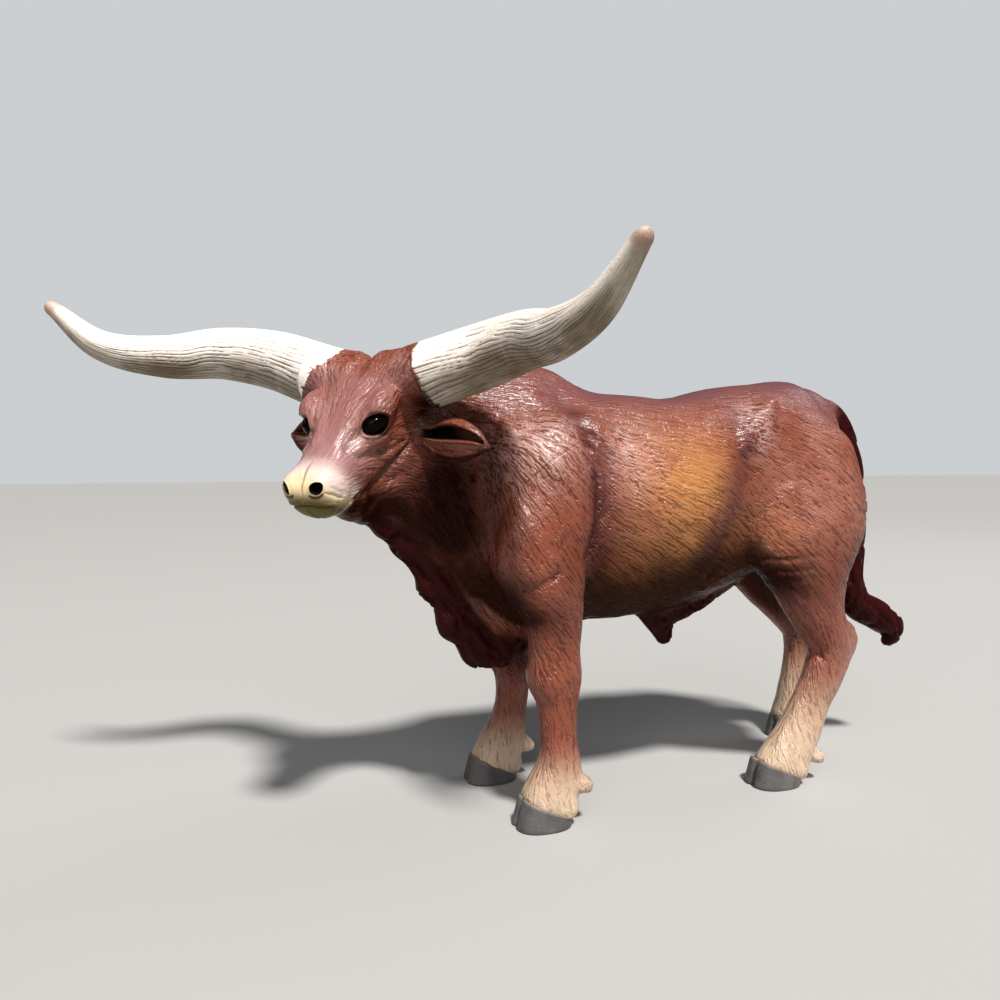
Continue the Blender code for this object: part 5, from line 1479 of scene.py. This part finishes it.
def hairGroup():
    # engraved hair: fine streaks and broader locks drawn out along the hair, a little wavy
    group, source, out = newGroup("engravedHair", [
        ("Way", "NodeSocketVector", None), ("Wave", "NodeSocketFloat", 0.0011)], ["Height", "Groove"])
    place = addNode(group, "ShaderNodeTexCoord").outputs["Object"]
    bend = addNode(group, "ShaderNodeTexNoise", {"Vector": place, "Scale": 330.0, "Detail": 1.0})
    shift = addNode(group, "ShaderNodeVectorMath", {0: bend.outputs["Color"], 1: (0.5, 0.5, 0.5)},
                    operation="SUBTRACT")
    scaled = addNode(group, "ShaderNodeVectorMath", {0: shift.outputs[0],
                                                     "Scale": source.outputs["Wave"]}, operation="SCALE")
    place = addNode(group, "ShaderNodeVectorMath", {0: place, 1: scaled.outputs[0]},
                    operation="ADD").outputs[0]
    way = source.outputs["Way"]
    fine = combNode(group, place, way, 0.00043, 0.0030, 10)
    broad = combNode(group, place, way, 0.00095, 0.0062, 9)
    lock = calc(group, "MULTIPLY", ranged(group, broad, 0.42, 0.56), 0.45)
    strand = calc(group, "MULTIPLY", ranged(group, fine, 0.44, 0.54), 0.55)
    group.links.new(calc(group, "ADD", lock, strand), out.inputs["Height"])
    crease = calc(group, "MULTIPLY", ranged(group, fine, 0.44, 0.49, 1.0, 0.0),
                  ranged(group, broad, 0.44, 0.56, 1.0, 0.35))
    group.links.new(crease, out.inputs["Groove"])
    return group


def mottleGroup():
    # uneven sprayed paint: soft clouds and fine specks on the object's own millimetres
    group, source, out = newGroup("unevenPaint", [("Size", "NodeSocketFloat", 120.0)],
                                  ["Cloud", "Speck"])
    place = addNode(group, "ShaderNodeTexCoord").outputs["Object"]
    soft = addNode(group, "ShaderNodeTexNoise", {"Vector": place, "Scale": source.outputs["Size"],
                                                 "Detail": 4.0, "Roughness": 0.55}).outputs["Fac"]
    fine = addNode(group, "ShaderNodeTexNoise", {"Vector": place, "Scale": 1900.0, "Detail": 2.0,
                                                 "Roughness": 0.7}).outputs["Fac"]
    group.links.new(ranged(group, soft, 0.3, 0.7), out.inputs["Cloud"])
    group.links.new(ranged(group, fine, 0.35, 0.68), out.inputs["Speck"])
    return group


hairEngraved, paintUneven = hairGroup(), mottleGroup()


def useGroup(tree, group, inputs=None):
    return addNode(tree, "ShaderNodeGroup", inputs, node_tree=group)


def newMaterial(name):
    material = bpy.data.materials.new(name)
    material.use_nodes = True
    return material, material.node_tree, material.node_tree.nodes["Principled BSDF"]


def bumped(tree, height, strength, distance):
    return addNode(tree, "ShaderNodeBump", {"Height": height, "Strength": strength,
                                            "Distance": distance}).outputs[0]


skinPaint = {
    "brown": (0.205, 0.050, 0.025), "brownLight": (0.285, 0.094, 0.058), "topGrey": (0.135, 0.054, 0.060),
    # the rose pink is partly paint and partly a painted highlight; the dark is painted shade
    "ochre": (0.53, 0.225, 0.070), "roseAndHighlight": (0.50, 0.245, 0.190), "dark": (0.012, 0.0025, 0.002),
    # the maroon is paint made near black, so it is also painted shade; the plum is painted shade in hollows
    "maroon": (0.028, 0.0035, 0.0035), "hollowShade": (0.110, 0.024, 0.022), "mauve": (0.33, 0.180, 0.185),
    "pale": (0.76, 0.60, 0.54),
    # the dark olive jowl is painted shade with the green of reflected light
    "cream": (0.82, 0.63, 0.35), "jowl": (0.075, 0.062, 0.008), "tan": (0.38, 0.180, 0.120),
    "bone": (0.65, 0.51, 0.36), "ivory": (0.92, 0.87, 0.80), "black": (0.004, 0.002, 0.002),
    # the light pink-grey after the lip wash is a painted highlight
    "lipWash": (0.060, 0.020, 0.007), "paintedHighlight": (0.60, 0.43, 0.40),
    "hairWash": (0.26, 0.13, 0.09), "speckWash": (0.5, 0.36, 0.32),
    "roughness": 0.31, "hairDepth": 0.00024,
}


def skinMaterial():
    material, tree, shader = newMaterial("paintedSkin")
    look = skinPaint
    mask = {name: attributeValue(tree, name) for name in (
        "ochre", "topGrey", "roseAndHighlight", "dark", "cream", "mauve", "pale", "brow", "shank", "maroon",
        "black", "lipWash", "hair", "jowl", "ivory", "paintedHighlight", "band")}
    hair = useGroup(tree, hairEngraved, {"Way": attributeValue(tree, "way", True)})
    mottle = useGroup(tree, paintUneven, {"Size": 130.0})
    cloudOut, speck = mottle.outputs["Cloud"], mottle.outputs["Speck"]
    colour = blendColour(tree, calc(tree, "MULTIPLY", cloudOut, 0.45), look["brown"], look["brownLight"])

    def spray(base, name, paint, strength=1.0, ragged=0.25):
        # an airbrushed coat whose edge is broken a little by the clouds
        edge = calc(tree, "MULTIPLY", calc(tree, "SUBTRACT", cloudOut, 0.5), ragged)
        inner = calc(tree, "MULTIPLY", mask[name], calc(tree, "SUBTRACT", 1.0, mask[name]))
        broken = calc(tree, "MULTIPLY", edge, calc(tree, "MULTIPLY", inner, 4.0))
        share = calc(tree, "ADD", mask[name], broken)
        share = calc(tree, "MULTIPLY", share, strength, clamp=True)
        return blendColour(tree, share, base, look[paint])

    colour = spray(colour, "topGrey", "topGrey", 1.1)
    colour = spray(colour, "brow", "mauve", 0.4)
    # pink paint, which on the ribs, the shoulder and the ear's leaf is also a painted highlight
    colour = spray(colour, "roseAndHighlight", "roseAndHighlight", 0.8)
    colour = spray(colour, "ochre", "ochre", 0.95)
    colour = spray(colour, "mauve", "mauve", 0.75)
    shank = calc(tree, "POWER", mask["shank"], 1.4)
    colour = blendColour(tree, calc(tree, "MULTIPLY", mask["shank"], 0.75), colour, look["tan"])
    colour = blendColour(tree, calc(tree, "MULTIPLY", shank, 0.8), colour, look["bone"])
    # painted shade: a dark plum in the hollows of the flank and behind the shoulder
    colour = spray(colour, "band", "hollowShade", 0.8, 0.5)
    # painted shade: near black in the folds, on the undersides and between the legs
    colour = spray(colour, "dark", "dark", 0.97)
    # maroon paint made near black, which is also painted shade under the neck and the belly
    colour = spray(colour, "maroon", "maroon", 1.0, 0.1)
    colour = spray(colour, "pale", "pale", 0.85, 0.5)
    colour = spray(colour, "cream", "cream", 1.0, 0.3)
    # painted shade under the chin: a dark olive with the green of reflected light
    colour = blendColour(tree, calc(tree, "MULTIPLY", mask["jowl"], 0.94), colour, look["jowl"])
    # a painted highlight: a light pink-grey on the hair's ridges where those spots lie
    highlitRidges = calc(tree, "MULTIPLY", mask["paintedHighlight"], ranged(tree, hair.outputs["Height"], 0.3, 0.9))
    colour = blendColour(tree, calc(tree, "MULTIPLY", highlitRidges, 0.65), colour, look["paintedHighlight"])
    wash = calc(tree, "MULTIPLY", hair.outputs["Groove"], calc(tree, "MULTIPLY", mask["hair"], 0.75))
    colour = blendColour(tree, wash, colour, look["hairWash"], "MULTIPLY")
    colour = blendColour(tree, calc(tree, "MULTIPLY", speck, 0.10), colour, look["speckWash"], "MULTIPLY")
    colour = blendColour(tree, calc(tree, "MULTIPLY", mask["lipWash"], 0.8), colour, look["lipWash"])
    border = calc(tree, "ADD", mask["ivory"], calc(tree, "MULTIPLY", hair.outputs["Height"], 0.5))
    colour = blendColour(tree, ranged(tree, border, 0.72, 0.84), colour, look["ivory"])
    colour = blendColour(tree, mask["black"], colour, look["black"])
    tree.links.new(colour, shader.inputs["Base Color"])
    rough = calc(tree, "ADD", look["roughness"] - 0.05, calc(tree, "MULTIPLY", cloudOut, 0.10))
    rough = calc(tree, "ADD", rough, calc(tree, "MULTIPLY", hair.outputs["Groove"], 0.10))
    tree.links.new(rough, shader.inputs["Roughness"])
    lift = calc(tree, "MULTIPLY", hair.outputs["Height"], mask["hair"])
    lift = calc(tree, "ADD", lift, calc(tree, "MULTIPLY", speck, 0.05))
    tree.links.new(bumped(tree, lift, 1.0, look["hairDepth"]), shader.inputs["Normal"])
    dull = calc(tree, "MAXIMUM", mask["dark"], mask["black"])
    dull = calc(tree, "MAXIMUM", dull, calc(tree, "MULTIPLY", mask["maroon"], 0.85))
    dull = calc(tree, "MAXIMUM", dull, calc(tree, "MULTIPLY", mask["topGrey"], 0.7))
    dull = calc(tree, "MAXIMUM", dull, calc(tree, "MULTIPLY", mask["jowl"], 0.8))
    tree.links.new(ranged(tree, dull, 0.1, 1.0, 0.36, 0.03), shader.inputs["Specular IOR Level"])
    return material


hornPaint = {
    "ivory": (0.93, 0.87, 0.79), "cream": (0.87, 0.745, 0.60), "wash": (0.12, 0.07, 0.035),
    # the olive and the shade are painted shade on the horn's underside and under its border
    "shadedOlive": (0.13, 0.095, 0.038), "tip": (0.36, 0.22, 0.15), "flesh": (0.205, 0.055, 0.032),
    "shade": (0.02, 0.006, 0.004), "roughness": 0.46,
}


def hornMaterial():
    material, tree, shader = newMaterial("paintedHorn")
    look = hornPaint
    groove, border = attributeValue(tree, "groove"), attributeValue(tree, "border")
    mottle = useGroup(tree, paintUneven, {"Size": 90.0})
    colour = blendColour(tree, calc(tree, "MULTIPLY", mottle.outputs["Cloud"], 0.5), look["ivory"],
                         look["cream"])
    # painted shade: the underside darkens unevenly to olive, as shade with green reflected light
    uneven = ranged(tree, mottle.outputs["Cloud"], 0.0, 1.0, 0.65, 0.95)
    low = calc(tree, "MULTIPLY", attributeValue(tree, "under"), uneven)
    colour = blendColour(tree, low, colour, look["shadedOlive"])
    wash = ranged(tree, groove, 0.2, 0.75, 0.0, 0.85)
    colour = blendColour(tree, wash, colour, look["wash"])
    colour = blendColour(tree, calc(tree, "MULTIPLY", mottle.outputs["Speck"], 0.08), colour,
                         look["wash"])
    tip = ranged(tree, attributeValue(tree, "along"), 0.972, 1.0, 0.0, 0.7)
    colour = blendColour(tree, tip, colour, look["tip"])
    # the ragged border has the flesh's colour, with painted shade on its underside
    root = blendColour(tree, attributeValue(tree, "under"), look["flesh"], look["shade"])
    colour = blendColour(tree, border, colour, root)
    tree.links.new(colour, shader.inputs["Base Color"])
    rough = calc(tree, "ADD", look["roughness"] - 0.06, calc(tree, "MULTIPLY", mottle.outputs["Cloud"], 0.12))
    tree.links.new(rough, shader.inputs["Roughness"])
    tree.links.new(bumped(tree, mottle.outputs["Speck"], 0.35, 0.00008), shader.inputs["Normal"])
    return material


hoofPaint = {"grey": (0.060, 0.058, 0.062), "dusty": (0.16, 0.145, 0.13), "rim": (0.28, 0.20, 0.14),
             "roughness": 0.5}


def hoofMaterial():
    material, tree, shader = newMaterial("paintedHoof")
    look = hoofPaint
    mottle = useGroup(tree, paintUneven, {"Size": 260.0})
    rise = attributeValue(tree, "rise")
    lines = addNode(tree, "ShaderNodeTexNoise", {"W": calc(tree, "MULTIPLY", rise, 9.0), "Scale": 1.0,
                                                 "Detail": 2.0}, noise_dimensions="1D").outputs[0]
    colour = blendColour(tree, calc(tree, "MULTIPLY", mottle.outputs["Cloud"], 0.6), look["grey"],
                         look["dusty"])
    rim = ranged(tree, rise, 0.86, 0.97, 0.0, 0.5)
    colour = blendColour(tree, rim, colour, look["rim"])
    tree.links.new(colour, shader.inputs["Base Color"])
    rough = calc(tree, "ADD", look["roughness"] - 0.08, calc(tree, "MULTIPLY", mottle.outputs["Speck"], 0.14))
    tree.links.new(rough, shader.inputs["Roughness"])
    lift = calc(tree, "ADD", lines, calc(tree, "MULTIPLY", mottle.outputs["Speck"], 0.2))
    tree.links.new(bumped(tree, lift, 0.6, 0.00015), shader.inputs["Normal"])
    return material


eyePaint = {"black": (0.001, 0.001, 0.001), "brown": (0.003, 0.0015, 0.001)}


def eyeMaterial():
    # gloss black, very faintly brown in its clouds
    material, tree, shader = newMaterial("glossEye")
    mottle = useGroup(tree, paintUneven, {"Size": 500.0})
    colour = blendColour(tree, mottle.outputs["Cloud"], eyePaint["black"], eyePaint["brown"])
    tree.links.new(colour, shader.inputs["Base Color"])
    rough = calc(tree, "ADD", 0.08, calc(tree, "MULTIPLY", mottle.outputs["Speck"], 0.06))
    tree.links.new(rough, shader.inputs["Roughness"])
    shader.inputs["Specular IOR Level"].default_value = 0.045
    return material


# Putting it together

flesh = ["head", "neck", "torso", "dewlap", "tail", "sheath", "scrotum", "leg_front_left",
         "leg_front_right", "leg_hind_left", "leg_hind_right", "ear_left", "ear_right"]


def dress(name, mesh, material, slot, *nodes):
    piece = addObject(name, mesh)
    mesh.materials.clear()
    mesh.materials.append(material)
    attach(piece, "root")
    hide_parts(*nodes)
    return piece


dress("painted_skin", placed(makeSkin()), skinMaterial(), "painted_brown", *flesh)
print("skin dressed")
hornFinish, hoofFinish, eyeFinish = hornMaterial(), hoofMaterial(), eyeMaterial()
for side in ("left", "right"):
    dress("horn_skin_" + side, makeHorn(side), hornFinish, "painted_ivory", "horn_" + side)
    dress("eyeball_" + side, makeEye(side), eyeFinish, "gloss_black", "eye_" + side)
    for end in ("front", "hind"):
        dress("hoof_cap_" + end + "_" + side, makeHoof(side, end), hoofFinish,
              "painted_hoof_grey", "hoof_" + end + "_" + side)
print("horns, eyes and hooves dressed")


# Floor and light

studio = {
    "floor": (0.38, 0.376, 0.365), "floorReach": 9.0, "world": (0.86, 0.90, 1.0), "worldStrength": 0.09,
    "backdrop": (0.60, 0.62, 0.64),
    # a large far lamp, seen from the bull under a small angle: way to it, watts, angle, colour
    "key": ((0.52, 0.06, 0.85), 5.4, 0.12, (1.0, 0.975, 0.95)),
    # spot, target, size, watts, colour
    "fill": ((0.80, -0.42, 0.72), (0.0, 0.0, 0.05), 0.7, 4.2, (1.0, 0.98, 0.97)),
    "rim": ((-0.10, 0.60, 0.60), (0.0, 0.02, 0.06), 0.3, 1.0, (0.95, 0.97, 1.0)),
}


def facing(away, spot):
    # a lamp's place and turn: its back points away along the given way
    away = np.array(away) / np.linalg.norm(away)
    right = np.cross((0.0, 0.0, 1.0), away)
    right = right / np.linalg.norm(right)
    rows = np.column_stack([right, np.cross(away, right), away, spot])
    return Matrix([*rows.tolist(), [0.0, 0.0, 0.0, 1.0]])


def makeStudio(look):
    mesh = bpy.data.meshes.new("floor")
    reach = look["floorReach"]
    corners = [(-reach, -reach, 0.0), (reach, -reach, 0.0), (reach, reach, 0.0), (-reach, reach, 0.0)]
    mesh.from_pydata(corners, [], [(0, 1, 2, 3)])
    floor = addObject("floor", mesh)
    material, tree, shader = newMaterial("paleFloor")
    shader.inputs["Base Color"].default_value = (*look["floor"], 1.0)
    shader.inputs["Roughness"].default_value = 0.9
    mesh.materials.append(material)
    world = bpy.data.worlds.new("studio")
    world.use_nodes = True
    sky = world.node_tree.nodes["Background"]
    path = addNode(world.node_tree, "ShaderNodeLightPath").outputs["Is Camera Ray"]
    glow = tuple(part * look["worldStrength"] for part in look["world"])
    seen = blendColour(world.node_tree, path, glow, look["backdrop"])
    world.node_tree.links.new(seen, sky.inputs["Color"])
    bpy.context.scene.world = world
    way, watts, angle, colour = look["key"]
    sun = bpy.data.lights.new("key", "SUN")
    sun.energy, sun.angle, sun.color = watts, angle, colour
    addObject("key", sun).matrix_world = facing(way, np.array(way))
    for name in ("fill", "rim"):
        spot, target, size, watts, colour = look[name]
        lamp = bpy.data.lights.new(name, "AREA")
        lamp.energy, lamp.size, lamp.color = watts, size, colour
        addObject(name, lamp).matrix_world = facing(np.array(spot) - np.array(target), spot)


makeStudio(studio)
bpy.context.scene.view_settings.view_transform = "Standard"
print("studio lit")
